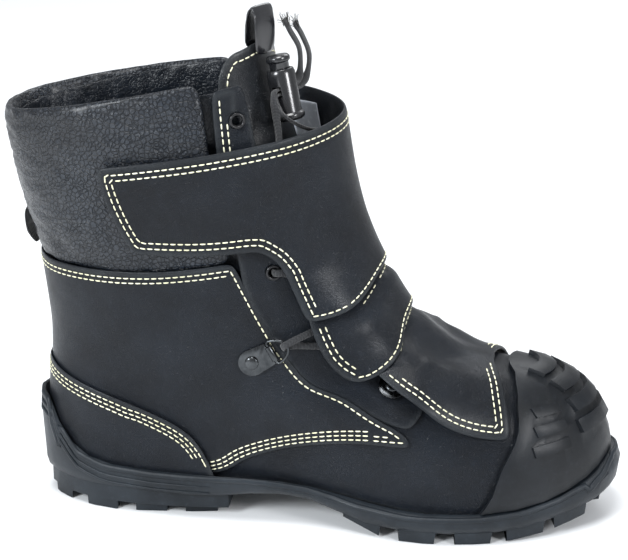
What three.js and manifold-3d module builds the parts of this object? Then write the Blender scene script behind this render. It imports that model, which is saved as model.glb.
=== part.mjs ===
// Right fire boot: lasted leather upper on a cupped rubber sole, laced under a sewn front flap.
// Millimetres, +Z up, toe towards +X, the outer side of the foot towards -Y.
import * as THREE from "three";
import { mergeVertices } from "three/addons/utils/BufferGeometryUtils.js";
import Module from "manifold-3d";

const wasm = await Module();
wasm.setup();

// ---- driving dimensions ----
const leather = 1.8;
const upperLift = 2.5; // the quarters and facings lie this far off the last, over the vamp and stiffeners
const flapThickness = 2.1;
const laceWide = 4.4;
const laceThick = 2;
const girthCount = 10; // from the sole edge, 0, to the collar's rim, 10
const columnCount = 14; // round the boot: 0 toe, positive outer side, 7 heel
const stations = [0.03, 0.13, 0.3, 0.52, 0.76, 0.94]; // from toe to heel along a girth

// One girth line of the last each: front x, y, z; back x, z; half widths at the stations.
const girths = [
  { front: [302, 5, 20], back: [10.5, 21], outer: [19, 40, 49, 34, 28.5, 18], inner: [22, 41, 44.5, 28, 28, 18] },
  { front: [304, 5, 36], back: [9.5, 30], outer: [20.5, 43, 51, 39, 31, 20], inner: [23, 44, 47, 32, 30, 20] },
  { front: [299, 5, 54], back: [9, 41], outer: [19.5, 40.5, 49.5, 41, 32.5, 21], inner: [21.5, 41.5, 46, 34.5, 31.5, 21] },
  { front: [287, 4, 69], back: [9, 53], outer: [17, 34, 45, 41.5, 33.5, 21.5], inner: [18.5, 34.5, 42.5, 36.5, 32.5, 21.5] },
  { front: [266, 3, 78], back: [9.5, 66], outer: [13, 27, 39.5, 41, 34, 21.5], inner: [13.5, 27, 38.5, 37.5, 33.5, 21.5] },
  { front: [231, 2, 81.5], back: [10.5, 81], outer: [12, 28, 38, 40, 34.5, 21], inner: [12, 27, 36.5, 38.5, 34, 21] },
  { front: [204, 1, 99.5], back: [11.5, 99], outer: [11.5, 27, 37, 39.5, 35.5, 21], inner: [11.5, 26.5, 36, 38.5, 35, 21] },
  { front: [182, 0, 128], back: [9.5, 122], outer: [12, 27.5, 38, 41, 37, 21.5], inner: [12, 27, 37.5, 40.5, 36.5, 21.5] },
  { front: [165, 0, 161], back: [6, 148], outer: [13.5, 30, 41, 44, 39, 22.5], inner: [13.5, 30, 41, 44, 39, 22.5] },
  { front: [154, 0, 200], back: [-1, 180], outer: [14.5, 32, 43.5, 46.5, 41, 24], inner: [14.5, 32, 43.5, 46.5, 41, 24] },
  { front: [146, 0, 244], back: [-8, 214], outer: [15.5, 33.5, 45, 48.5, 43, 26], inner: [15.5, 33.5, 45, 48.5, 43, 26] },
];
const bedFollow = [1, 0.8, 0.35]; // how far the lowest girths dip with the foot bed

// Side views of the sole as [x, z] points.
const bedLine = [[-5, 21], [60, 20.5], [115, 22.5], [147, 21], [174, 17], [205, 12.5], [235, 11], [262, 12.5], [302, 20], [315, 24]];
const soleUnder = [[-5, 13], [98, 13], [112, 15.5], [140, 17], [154, 15], [168, 10.5], [184, 6.5], [240, 6], [262, 7], [300, 14], [315, 18]];
const treadLine = [[-5, 0], [110, 0], [150, 14], [164, 11], [186, 1.5], [196, 0], [246, 0], [270, 2], [300, 8.5], [315, 13]];
const rimLine = [[-5, 60], [9, 57], [14, 45], [24, 33], [39, 27.5], [66, 26], [119, 26.5], [147, 24], [174, 19], [205, 16.5], [240, 16.5],
  [262, 18.5], [282, 23], [298, 30], [306, 37], [315, 38]];

const smooth = THREE.MathUtils.smoothstep;
const vec = (x, y, z) => new THREE.Vector3(x, y, z);

// Height of a side-view line at x.
function along(line, x) {
  const k = Math.max(1, line.findIndex((p) => p[0] >= x));
  const [a, b] = [line[k - 1], line[k]];
  const t = THREE.MathUtils.clamp((x - a[0]) / (b[0] - a[0]), 0, 1);
  return a[1] + (b[1] - a[1]) * t;
}

// ---- the last: a point for any girth and column, and its outward normal ----
function girthRing(row, index) {
  const [fx, fy, fz] = row.front;
  const [bx, bz] = row.back;
  const at = (s, y) => vec(fx + (bx - fx) * s, y + fy * (1 - s) ** 3, fz + (bz - fz) * s);
  const outer = stations.map((s, k) => at(s, -row.outer[k]));
  const inner = stations.map((s, k) => at(s, row.inner[k])).reverse();
  const ring = [at(0, 0), ...outer, at(1, 0), ...inner];
  const follow = bedFollow[index] ?? 0;
  for (const p of ring) {
    const s = (fx - p.x) / (fx - bx);
    const chord = along(bedLine, fx) * (1 - s) + along(bedLine, bx) * s;
    p.z += follow * (along(bedLine, p.x) - chord);
  }
  return ring;
}
const rings = girths.map(girthRing);
const columns = rings[0].map((_, k) => new THREE.CatmullRomCurve3(rings.map((r) => r[k]), false, "centripetal"));

function lastPoint(girth, column) {
  const g = THREE.MathUtils.clamp(girth, 0, girthCount);
  const ring = columns.map((c) => c.getPoint(g / girthCount));
  const turn = (((column / columnCount) % 1) + 1) % 1;
  const p = new THREE.CatmullRomCurve3(ring, true, "centripetal").getPoint(turn);
  if (girth === g) return p;
  const step = 0.2;
  const inside = lastPoint(g - Math.sign(girth - g) * step, column);
  return p.clone().addScaledVector(p.clone().sub(inside), Math.abs(girth - g) / step);
}

function lastNormal(girth, column) {
  const e = 0.04;
  const g = THREE.MathUtils.clamp(girth, e, girthCount - e);
  const up = lastPoint(g + e, column).sub(lastPoint(g - e, column));
  const round = lastPoint(g, column + e).sub(lastPoint(g, column - e));
  return up.cross(round).normalize();
}

const place = (girth, column, lift) => lastPoint(girth, column).addScaledVector(lastNormal(girth, column), lift);

// ---- solids ----
function volumeOf(positions, index) {
  let sum = 0;
  const p = index.map((i) => vec(positions[3 * i], positions[3 * i + 1], positions[3 * i + 2]));
  for (let k = 0; k < p.length; k += 3) sum += p[k].dot(p[k + 1].clone().cross(p[k + 2]));
  return sum;
}

function solidFrom(positions, index) {
  if (volumeOf(positions, index) < 0) index = index.slice().reverse();
  const geometry = new THREE.BufferGeometry();
  geometry.setAttribute("position", new THREE.Float32BufferAttribute(positions, 3));
  geometry.setIndex(index);
  geometry.computeVertexNormals();
  return geometry;
}

// A grid of [girth, column] spots filled in between four edges; across runs from the first side edge to the second.
function patch(low, high, sideA, sideB, rows, cols) {
  const curve = (pts) => new THREE.SplineCurve(pts.map((p) => new THREE.Vector2(p[0], p[1])));
  const [l, h, a, b] = [low, high, sideA ?? [low[0], high[0]], sideB ?? [low.at(-1), high.at(-1)]].map(curve);
  const grid = [];
  for (let i = 0; i <= rows; i++) {
    const v = i / rows;
    const line = [];
    for (let j = 0; j <= cols; j++) {
      const u = j / cols;
      const p = l.getPointAt(u).multiplyScalar(1 - v).add(h.getPointAt(u).multiplyScalar(v));
      p.add(a.getPointAt(v).multiplyScalar(1 - u)).add(b.getPointAt(v).multiplyScalar(u));
      p.addScaledVector(l.getPoint(0), -(1 - u) * (1 - v)).addScaledVector(l.getPoint(1), -u * (1 - v));
      p.addScaledVector(h.getPoint(0), -(1 - u) * v).addScaledVector(h.getPoint(1), -u * v);
      line.push([p.x, p.y]);
    }
    grid.push(line);
  }
  return grid;
}

// A closed sheet of leather or the like over one or more patches that share their edges.
function sheet(patches, inner, outer, spot = place) {
  const ids = new Map();
  const places = [];
  const id = ([g, c]) => {
    const wrapped = ((c % columnCount) + columnCount) % columnCount;
    const key = `${Math.round(g * 2000)}_${Math.round(wrapped * 2000) % (columnCount * 2000)}`;
    if (!ids.has(key)) {
      ids.set(key, places.length);
      places.push([g, wrapped]);
    }
    return ids.get(key);
  };
  const quads = [];
  for (const grid of patches) {
    for (let i = 0; i + 1 < grid.length; i++) {
      for (let j = 0; j + 1 < grid[i].length; j++) {
        quads.push([grid[i][j], grid[i][j + 1], grid[i + 1][j + 1], grid[i + 1][j]].map(id));
      }
    }
  }
  const count = places.length;
  const lift = (rule, g, c) => (typeof rule === "function" ? rule(g, signed(c)) : rule);
  const positions = [outer, inner].flatMap((rule) => places.flatMap(([g, c]) => spot(g, signed(c), lift(rule, g, c)).toArray()));
  const edges = new Set(quads.flatMap((q) => q.map((a, k) => `${a}_${q[(k + 1) % 4]}`)));
  const index = [];
  for (const [a, b, c, d] of quads) {
    index.push(a, b, c, a, c, d);
    index.push(count + a, count + c, count + b, count + a, count + d, count + c);
  }
  for (const edge of edges) {
    const [a, b] = edge.split("_").map(Number);
    if (!edges.has(`${b}_${a}`)) index.push(a, count + a, b, b, count + a, count + b);
  }
  return solidFrom(positions, index);
}
const signed = (c) => (c > columnCount / 2 ? c - columnCount : c);
const mirrored = (pts) => pts.map(([g, c]) => [g, -c]);

function toManifold(geometry) {
  const bare = geometry.clone();
  bare.deleteAttribute("normal");
  bare.deleteAttribute("uv");
  const merged = mergeVertices(bare, 1e-4);
  const vertProperties = new Float32Array(merged.attributes.position.array);
  return new wasm.Manifold(new wasm.Mesh({ numProp: 3, vertProperties, triVerts: new Uint32Array(merged.index.array) }));
}

function fromManifold(solid) {
  const mesh = solid.getMesh();
  return solidFrom(Array.from(mesh.vertProperties), Array.from(mesh.triVerts));
}

const boot = new THREE.Group();

function add(name, geometry, color, roughness, metalness = 0) {
  const mesh = new THREE.Mesh(geometry, new THREE.MeshStandardMaterial({ color, roughness, metalness }));
  mesh.name = name;
  boot.add(mesh);
  return mesh;
}
const black = 0x1c1f24;
const steel = 0x4b4f54;

// ---- sole ----
const soleColumns = 60;
// How far the layers of the upper stand off the last beside the sole wall.
const upperBuild = (c) => 2.5 + 2.2 * smooth(Math.abs(c), 3.75, 4.15) + 2.9 * smooth(Math.abs(c), 4.2, 4.5);
const soleEdge = (c) => 7 + 2.6 * (1 - smooth(Math.abs(c), 0.6, 2)) + 2.7 * smooth(Math.abs(c), 4.2, 5);

// Girth at which the wall of the sole ends, so that its height meets the rim line.
function rimGirth(c) {
  let g = 0;
  while (g < 4 && place(g, c, upperBuild(c)).z < along(rimLine, place(g, c, upperBuild(c)).x)) g += 0.02;
  return g;
}

function soleRing(kind) {
  const ring = [];
  for (let k = 0; k < soleColumns; k++) {
    const c = signed((k * columnCount) / soleColumns);
    const top = rimGirth(c);
    const [wall, edge] = [upperBuild(c), soleEdge(c)];
    const level = lastNormal(0, c).setZ(0).normalize();
    const flat = (lift, z) => {
      const p = lastPoint(0, c).addScaledVector(level, lift);
      return p.setZ(z(p.x));
    };
    if (kind === "floor") ring.push(flat(wall, (x) => along(soleUnder, x) + 2.8));
    if (kind === "bed") ring.push(flat(wall, (x) => along(bedLine, x)));
    if (kind === "wall") ring.push(place(Math.max(top * 0.55, 0.1), c, wall));
    if (kind === "lip") ring.push(place(top, c, wall));
    if (kind === "rim") ring.push(place(top - 0.02, c, wall + (edge - wall) * 0.55));
    if (kind === "bead") ring.push(place(top * 0.72, c, edge));
    if (kind === "side") ring.push(flat(edge + 0.8, (x) => along(bedLine, x) * 0.94));
    if (kind === "skirt") ring.push(flat(edge - 0.4, (x) => along(soleUnder, x) + 2.2));
    if (kind === "under") ring.push(flat(edge - 2.6, (x) => along(soleUnder, x)));
  }
  return ring;
}

// A middle line between the two sides of a ring, to close it over with strips.
function spineOf(ring) {
  return ring.map((p, k) => {
    const other = ring[(soleColumns - k) % soleColumns];
    const middle = p.clone().add(other).multiplyScalar(0.5);
    if (k === 0) middle.x -= 9;
    if (k === soleColumns / 2) middle.x += 9;
    return middle;
  });
}

function loft(kinds) {
  const levels = kinds.map(soleRing);
  const all = [spineOf(levels[0]), ...levels, spineOf(levels.at(-1))];
  const positions = all.flatMap((ring) => ring.flatMap((p) => p.toArray()));
  const index = [];
  const last = all.length - 1;
  // The two ends of a middle line are one row of points, shared by both sides.
  const at = (row, k) => {
    const j = (k + soleColumns) % soleColumns;
    const shared = row === 0 || row === last ? Math.min(j, (soleColumns - j) % soleColumns || 0) : j;
    return row * soleColumns + (j === 0 ? 0 : shared);
  };
  for (let row = 0; row < last; row++) {
    for (let k = 0; k < soleColumns; k++) {
      const [a, b, c, d] = [at(row, k), at(row, k + 1), at(row + 1, k + 1), at(row + 1, k)];
      if (a !== b) index.push(a, b, c);
      if (c !== d) index.push(a, c, d);
    }
  }
  return solidFrom(positions, index);
}

// A block of tread under the sole, a little narrower at its foot, which is on the tread line.
function treadBlock(outline, taper) {
  const middle = outline.reduce((s, p) => [s[0] + p[0] / outline.length, s[1] + p[1] / outline.length], [0, 0]);
  const n = outline.length;
  const ring = (grow, line, rise) =>
    outline.flatMap(([x, y]) => {
      const px = middle[0] + (x - middle[0]) * grow;
      const py = middle[1] + (y - middle[1]) * grow;
      return [px, py, along(line, px) + rise];
    });
  const positions = [...ring(1 - taper, treadLine, 0), ...ring(1, soleUnder, 1.5)];
  const index = [];
  for (let k = 0; k < n; k++) {
    const j = (k + 1) % n;
    index.push(k, j, n + j, k, n + j, n + k);
    if (k > 0 && k < n - 1) index.push(0, j, k, n, n + k, n + j);
  }
  return solidFrom(positions, index);
}

// A slab of the sole's outline, from one x to another and between two heights; inset is a rule of x.
function outlineSlab(inset, from, to, low, high) {
  const shape = new THREE.Shape();
  for (let k = 0; k < soleColumns; k++) {
    const c = signed((k * columnCount) / soleColumns);
    const p = lastPoint(0, c);
    p.addScaledVector(lastNormal(0, c).setZ(0).normalize(), soleEdge(c) - inset(p.x));
    if (k === 0) shape.moveTo(p.x, p.y);
    else shape.lineTo(p.x, p.y);
  }
  const slab = new THREE.ExtrudeGeometry(shape, { depth: high - low, bevelEnabled: false }).translate(0, 0, low);
  const span = new THREE.BoxGeometry(to - from, 200, 100).translate((from + to) / 2, 0, 0);
  return toManifold(slab).intersect(toManifold(span));
}

const heelEnd = 107;
const bothSides = (x, lug) => [-1, 1].map((side) => lug.map(([dx, y]) => [x + dx, side * y]));
const lugRow = (places, lug) => places.flatMap((x) => bothSides(x, lug));
const heelLugs = [
  ...lugRow([4, 30, 57, 84], [[-7, 9], [12, 9], [17, 24], [17, 46], [0, 46], [-2, 24]]),
  [[14, -6], [52, -6], [48, 6], [14, 6]],
  [[58, -6], [102, -6], [102, 6], [54, 6]],
];
const foreLugs = [
  ...lugRow([173, 202, 231, 258, 283], [[-8, 10], [10, 10], [17, 32], [17, 62], [-2, 62], [-4, 32]]),
  ...[182, 209, 236, 262, 286].map((x) => [[x, -7], [x + 18, -7], [x + 14, 7], [x - 4, 7]]),
];

function outsole() {
  let solid = toManifold(loft(["floor", "bed", "wall", "lip", "rim", "bead", "side", "skirt", "under"]));
  solid = solid.add(outlineSlab((x) => 2.2 + 0.1 * THREE.MathUtils.clamp(x - 60, 0, 50), -20, heelEnd, 5, 15.2));
  const heelClip = outlineSlab((x) => 2.8 + 0.19 * THREE.MathUtils.clamp(x - 50, 0, 60), -20, heelEnd - 0.6, -1, 14);
  const foreClip = outlineSlab(() => 2.6, 165, 320, -1, 30);
  const join = (lugs, clip) => lugs.forEach((lug) => {
    solid = solid.add(toManifold(treadBlock(lug, 0.09)).intersect(clip));
  });
  join(heelLugs, heelClip);
  join(foreLugs, foreClip);
  return fromManifold(solid);
}
add("outsole", outsole(), 0x16181b, 0.8);

// Half width of the last's foot bed at x, on one side.
function bedHalf(x, side) {
  let best = 0;
  for (let c = 0.02; c < 7; c += 0.06) {
    const [p, q] = [lastPoint(0, side * c), lastPoint(0, side * (c + 0.06))];
    if (p.x >= x && q.x < x) best = p.y + ((q.y - p.y) * (p.x - x)) / (p.x - q.x);
  }
  return best;
}

// A plate over the foot bed, from one height above it to another.
function footPlate(inset, from, to, low, high, half = Infinity) {
  const [rows, cols] = [Math.round((to - from) / 16), 4];
  const ring = [];
  for (let i = 0; i <= rows; i++) {
    const x = from + ((to - from) * i) / rows;
    const [out, inn] = [Math.max(bedHalf(x, 1) + inset, -half), Math.min(bedHalf(x, -1) - inset, half)];
    for (let j = 0; j <= cols; j++) ring.push([x, out + ((inn - out) * j) / cols]);
  }
  const positions = [high, low].flatMap((h) => ring.flatMap(([x, y]) => [x, y, h(x)]));
  const n = ring.length;
  const wide = cols + 1;
  const index = [];
  const edges = new Map();
  for (let i = 0; i < rows; i++) {
    for (let j = 0; j < cols; j++) {
      const q = [i * wide + j, (i + 1) * wide + j, (i + 1) * wide + j + 1, i * wide + j + 1];
      index.push(q[0], q[1], q[2], q[0], q[2], q[3], n + q[0], n + q[2], n + q[1], n + q[0], n + q[3], n + q[2]);
      q.forEach((a, k) => edges.set(`${a}_${q[(k + 1) % 4]}`, [a, q[(k + 1) % 4]]));
    }
  }
  for (const [a, b] of edges.values()) {
    if (!edges.has(`${b}_${a}`)) index.push(a, n + a, b, b, n + a, n + b);
  }
  return solidFrom(positions, index);
}
const bed = (rise) => (x) => along(bedLine, x) + rise;
add("midsole", footPlate(-0.6, 13, 293, (x) => along(soleUnder, x) + 3.4, bed(-0.3)), 0x3a3d40, 0.9);
add("shank", footPlate(6, 62, 178, bed(0.1), bed(1.3), 9), steel, 0.4, 1);
add("penetration_plate", footPlate(5.2, 17, 294, bed(1.7), bed(2.6)), 0x8d9094, 0.4, 1);
add("insole_board", footPlate(5.2, 17, 294, bed(3), bed(5)), 0x8a7a60, 0.9);
add("sockliner", footPlate(5.6, 18, 292, bed(5.3), bed(9)), 0x2b2e33, 0.95);

// ---- lasted upper ----
const ringOf = (low, high, rows, cols) => [patch([[low, -7], [low, 7]], [[high, -7], [high, 7]], null, null, rows, cols)];
add("vamp_lining", sheet(ringOf(0.75, 4.8, 7, 30), -4.2, -2.6), 0x24272c, 0.7);
const shaftBand = [patch([[5.05, 2.35], [5.05, 11.65]], [[9.95, 2.45], [9.95, 11.55]], null, null, 7, 24)];
add("shaft_lining", sheet(shaftBand, -4.2, -2.6), 0x1a1c20, 0.35);

const protectorEdge = [[3.2, 1.9], [3.75, 1.1], [3.85, 0], [3.75, -1.1], [3.2, -1.9]];
const protector = patch([[0.8, 2.3], [0.8, -2.3]], protectorEdge, null, null, 8, 12);
add("toe_protector", sheet([protector], -2.2, -0.8), 0x9a9da1, 0.5, 0.6);

const throat = [[4.3, 2.75], [4.9, 1.9], [5.05, 0.9], [5.1, 0], [5.05, -0.9], [4.9, -1.9], [4.3, -2.75]];
const vampBack = [[0.15, 4.9], [1, 4.9], [2.3, 4.6], [3.5, 3.8], [4.3, 2.75]];
const vamp = patch([[0.15, 4.9], [0.15, -4.9]], throat, vampBack, mirrored(vampBack), 13, 24);
add("vamp", sheet([vamp], 0.1, 2), black, 0.42);

add("heel_stiffener", sheet([patch([[0.3, 5.1], [0.3, 8.9]], [[3.1, 5.2], [4.5, 6], [4.8, 7], [4.5, 8], [3.1, 8.8]], null, null, 6, 12)], 0, 1.7), 0x55585c, 0.8);
add("ankle_padding", sheet([patch([[5.1, 3.4], [5.1, 10.6]], [[7.5, 3.4], [7.5, 10.6]], null, null, 4, 20)], -2.1, 1.7), 0x60646a, 0.95);

// The line where a quarter meets its facing, and the line where it ends over the vamp.
const facingLine = [[7.72, 3.22], [7.2, 3.2], [6.4, 3.2], [5.8, 3.22], [4.2, 3.3], [3.2, 3.26], [2.72, 3.08]];
const quarterLow = [[0.2, 7], [0.2, 5.6], [0.5, 4.75], [1.4, 4.45], [2, 4.1], [2.3, 3.7], [2.36, 3.4], [2.24, 3.08]];
const quarterTop = [[7.72, 7], [7.62, 5], [7.62, 4.2], [7.72, 3.22]];
const hooks = [
  { name: "ankle", girth: 5.72, column: 3.66, aim: [0.36, -0.42], tilt: 8, clear: 0.4 },
  { name: "instep", girth: 4.32, column: 2.74, aim: [0.36, -0.55], tilt: -4, clear: 1.42 },
];
const eyeletSpots = [[7.5, 2.7], [8.55, 2.66], [9.6, 2.56]];
const rivetHole = 2.1;
const eyeletCut = 3.4;
const ankleRivet = (side) => [hooks[0].girth, hooks[0].column * side];

// Holes through a leather panel, each at a girth and column with its radius.
function pierced(geometry, holes) {
  let solid = toManifold(geometry);
  for (const [g, c, radius] of holes) {
    const drill = new THREE.CylinderGeometry(radius, radius, 8, 10);
    const turn = new THREE.Quaternion().setFromUnitVectors(vec(0, 1, 0), lastNormal(g, c));
    const at = place(g, c, upperLift + leather / 2);
    solid = solid.subtract(toManifold(drill.applyQuaternion(turn).translate(at.x, at.y, at.z)));
  }
  return fromManifold(solid);
}

function quarter(side) {
  const turn = (pts) => (side > 0 ? pts : mirrored(pts));
  const centre = [[0.2, 6.985], [7.72, 6.985]];
  const low = [centre[0], ...quarterLow.slice(1)];
  const high = [centre[1], ...quarterTop.slice(1)];
  const front = [quarterLow.at(-1), ...facingLine.toReversed()];
  return sheet([patch(turn(low), turn(high), turn(centre), turn(front), 14, 16)], upperLift, upperLift + leather);
}
add("quarter_lateral", pierced(quarter(1), [[...ankleRivet(1), rivetHole]]), black, 0.42);
add("quarter_medial", pierced(quarter(-1), [[...ankleRivet(-1), rivetHole]]), black, 0.42);

const heelTop = [[1.2, 4.72], [2.9, 4.9], [4.2, 5.6], [4.75, 6.3], [4.95, 7], [4.75, 7.7], [4.2, 8.4], [2.9, 9.1], [1.2, 9.28]];
const heelCover = patch([[0.34, 4.68], [0.34, 9.32]], heelTop, null, null, 6, 18);
add("heel_cover", sheet([heelCover], 5.6, 6.9), black, 0.45);

function facingHoles(side) {
  return [[hooks[1].girth, hooks[1].column * side, rivetHole], ...eyeletSpots.map(([g, c]) => [g, c * side, eyeletCut])];
}

// The facing carries the hooks and eyelets, and its lower end lies on the vamp.
function facing(side) {
  const turn = (pts) => (side > 0 ? pts : mirrored(pts));
  const back = [[2.78, 3.04], [3.25, 3.2], [4.2, 3.25], [5.8, 3.17], [7.2, 3.15], [8.5, 3.08], [10, 2.88]];
  const front = [[3.28, 2.8], [4.2, 2.55], [5.2, 2.3], [6.4, 2.25], [8.4, 2.3], [10, 2.35]];
  return sheet([patch(turn([back[0], front[0]]), turn([back.at(-1), front.at(-1)]), turn(back), turn(front), 16, 3)], upperLift, upperLift + leather);
}
add("facing_lateral", pierced(facing(1), facingHoles(1)), black, 0.4);
add("facing_medial", pierced(facing(-1), facingHoles(-1)), black, 0.4);

// The padded collar swells between its bottom seam and the rim.
const padRise = (g) => Math.sqrt(Math.max(0, 1 - ((g - 8.95) / 1.32) ** 2));
const collarLow = [[7.74, 3.2], [7.64, 4.2], [7.64, 5], [7.74, 7], [7.64, 9], [7.64, 9.8], [7.74, 10.8]];
const collar = patch(collarLow, [[10.12, 3.02], [10.12, 7], [10.02, 9.6], [9.96, 10.98]], null, null, 6, 24);
add("collar_pad", sheet([collar], (g) => -0.4 - 1.7 * padRise(g), (g) => 2.6 + 2.8 * padRise(g)), 0x1d2025, 0.5);

// ---- toe guard: a rubber cap with raised bars ----
function toeGuard() {
  const low = [2.52, 1.9, 1.2, 0.6, 0, -0.6, -1.2, -1.9, -2.52].map((c) => [rimGirth(c) + 0.09, c]);
  const top = [[3, 1.82], [4, 1.15], [4.4, 0], [4, -1.15], [3, -1.82]];
  const side = [low[0], [1, 2.42], [1.6, 2.3], [2.3, 2.04], [3, 1.82]];
  let solid = toManifold(sheet([patch(low, top, side, mirrored(side), 9, 15)], 2.7, 4.9));
  // bars over the top of the toe, then shorter ones down each side
  const bar = (g, c0, c1, wide, proud) => {
    const cells = Math.max(3, Math.round(Math.abs(c1 - c0) / 0.36));
    const strip = patch([[g, c0], [g, c1]], [[g + wide, c0], [g + wide, c1]], null, null, 1, cells);
    solid = solid.add(toManifold(sheet([strip], 3.6, proud)));
  };
  [1.95, 2.5, 3.05, 3.6].forEach((g, k) => bar(g, 1.12 - 0.1 * k, -1.12 + 0.1 * k, 0.36, 7.4));
  for (const side of [1, -1]) [1.75, 2.2, 2.65].forEach((g, k) => bar(g, side * (1.36 - 0.06 * k), side * (1.9 - 0.12 * k), 0.26, 5.9));
  return fromManifold(solid);
}
add("toe_guard", toeGuard(), 0x17191c, 0.75);

// ---- front flap: three sewn panels over the lacing ----
const flapSide = [[0, 5], [2.6, 5], [4, 6.3], [6, 7.2], [7, 10.6], [7.7, 11.5], [8.3, 10.6], [9, 10.1], [10.5, 10.4]];
const flapCrest = [[0, 5], [3, 5.2], [4.3, 5.8], [4.8, 6.9], [6, 8], [7, 10], [8, 12], [9, 14.5], [10.5, 17.5]];
const hookRoom = [[150, 6.6], [185, 7], [212, 10.7]];
function flapLift(g, c) {
  const crest = Math.exp(-((Math.abs(c) / 1.9) ** 2));
  // the flap rises over the hooks and the lace ends on each side of the instep
  const p = lastPoint(g, c);
  const room = smooth(Math.abs(p.y), 10, 27) * (1 - smooth(p.x, 216, 240)) * (1 - smooth(g, 6.6, 7.6));
  return along(flapSide, g) * (1 - crest) + along(flapCrest, g) * crest + along(hookRoom, p.x) * room;
}
const flapUnder = (g, c) => flapLift(g, c) - flapThickness;
const seamGap = 0.016;
const hingeGap = 0.05; // wider where the upper panel swings past the gusset
const seamUpper = [[6.6, 2.63], [6.62, 2.08], [6.82, 1.5], [7.02, 0.8], [7.1, 0], [7.02, -0.8], [6.82, -1.5], [6.62, -2.08], [6.6, -2.63]];
const seamLower = [[4.85, 2.82], [5.4, 2.05], [5.85, 1.5], [6.2, 0.9], [6.35, 0], [6.2, -0.9], [5.85, -1.5], [5.4, -2.05], [4.85, -2.82]];
const shifted = (pts, by) => pts.map(([g, c]) => [g + by, c]);

function flapUpper() {
  const corner = [7.92, 2.78];
  const strap = patch([[8.02, 4.42], [7.94, 3.6], corner], [[9.3, 4.6], [9.3, 3.7], [9.3, 2.78]], [[8.02, 4.42], [8.35, 4.52], [8.9, 4.6], [9.3, 4.6]], null, 5, 7);
  const waist = [corner, [7.96, 1.4], [8, 0], [8, -1.4], [7.95, -2.82]];
  const rim = [[9.3, 2.78], [9.3, 1.4], [9.35, 0], [9.45, -1.4], [9.6, -2.9]];
  const chest = patch(waist, rim, [corner, [9.3, 2.78]], null, 5, 16);
  const low = shifted(seamUpper, hingeGap);
  const belly = patch(low, waist, [low[0], [7.15, 2.58], [7.68, 2.56], corner], null, 5, 16);
  return sheet([strap, chest, belly], flapUnder, flapLift);
}
add("flap_upper", flapUpper(), black, 0.4);

const gussetSide = [[4.85 + seamGap, 2.82], [5.4, 2.8], [6, 2.74], [6.6 - seamGap, 2.63]];
add("flap_gusset", sheet([patch(shifted(seamLower, seamGap), shifted(seamUpper, -seamGap), gussetSide, mirrored(gussetSide), 5, 16)], flapUnder, flapLift), black, 0.45);

const toeEdge = [[2.25, 2.12], [3.25, 1.88], [4.15, 1.32], [4.56, 0.5], [4.6, 0], [4.56, -0.5], [4.15, -1.32], [3.25, -1.88], [2.25, -2.12]];
const lowerSide = [[2.25, 2.12], [2.42, 2.45], [2.8, 2.72], [3.5, 2.88], [4.2, 2.89], [4.85 - seamGap, 2.82]];
add("flap_lower", sheet([patch(toeEdge, shifted(seamLower, -seamGap), lowerSide, mirrored(lowerSide), 9, 16)], flapUnder, flapLift), black, 0.42);

// Fastening tape between the strap and the collar, and a plain patch inside the flap.
const tapeField = (inset) => patch([[8.2 + inset, 4.25 - inset], [8.2 + inset, 3.35]], [[9.1 - inset, 4.35 - inset], [9.1 - inset, 3.35]], null, null, 4, 5);
add("loop_tape", sheet([tapeField(0)], 5.8, 6.5), 0x101114, 1);
add("hook_tape", sheet([tapeField(0.06)], (g, c) => flapUnder(g, c) - 0.95, (g, c) => flapUnder(g, c) - 0.35), 0x15161a, 0.9);
const patchField = patch([[8.85, -1.5], [8.85, -2.45]], [[9.3, -1.5], [9.35, -2.5]], null, null, 4, 8);
add("flap_patch", sheet([patchField], (g, c) => flapUnder(g, c) - 2.4, (g, c) => flapUnder(g, c) - 1.7), 0xb9bcc0, 0.8);

// ---- tongue: follows the instep, then leans back into the shaft and turns outwards ----
const tongueSpine = new THREE.CatmullRomCurve3([vec(192, 0, 113), vec(171, 0, 138), vec(152, 0, 165), vec(136.5, -1, 205), vec(127, -4, 230), vec(122.5, -6, 252)]);
const tongueHalf = [[0, 30], [0.55, 31], [0.78, 29], [0.93, 24], [1, 13]];
const tongueTurn = [[0, 0], [0.4, 3], [0.65, 16], [1, 28]];
const tongueFree = 6.5; // girth where it starts to leave the last
const tongueTop = 10.6;
const tongueRadius = 36;
function tongueAt(t, column, lift) {
  const free = THREE.MathUtils.clamp((t - tongueFree) / (tongueTop - tongueFree), 0, 1);
  const yaw = THREE.MathUtils.degToRad(along(tongueTurn, free));
  const sweep = (Math.asin(along(tongueHalf, free) / tongueRadius) * column) / 2.1;
  const ahead = vec(Math.cos(yaw), -Math.sin(yaw), 0);
  const out = vec(-Math.sin(yaw), -Math.cos(yaw), 0);
  const way = ahead.clone().multiplyScalar(Math.cos(sweep)).addScaledVector(out, Math.sin(sweep));
  const p = tongueSpine.getPoint(free).addScaledVector(ahead, -tongueRadius).addScaledVector(way, tongueRadius + lift);
  const mix = smooth(t, tongueFree, 7.9);
  return place(Math.min(t, 9), column, lift - 2.2).lerp(p, mix);
}
const tongueOuter = [[4.96, 1.6], [6, 1.95], [7.5, 1.85], [8.6, 2.1], [10.45, 2.1]];
const tongueInner = [[4.96, -1.6], [6, -1.85], [7.2, -1.6], [8.8, -1.65], [10.45, -2.1]];
const tongue = patch([[4.96, 1.6], [4.96, -1.6]], [[10.45, 2.1], [10.62, 0], [10.45, -2.1]], tongueOuter, tongueInner, 20, 10);
add("tongue", sheet([tongue], -1.8, 0, tongueAt), black, 0.45);

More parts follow.
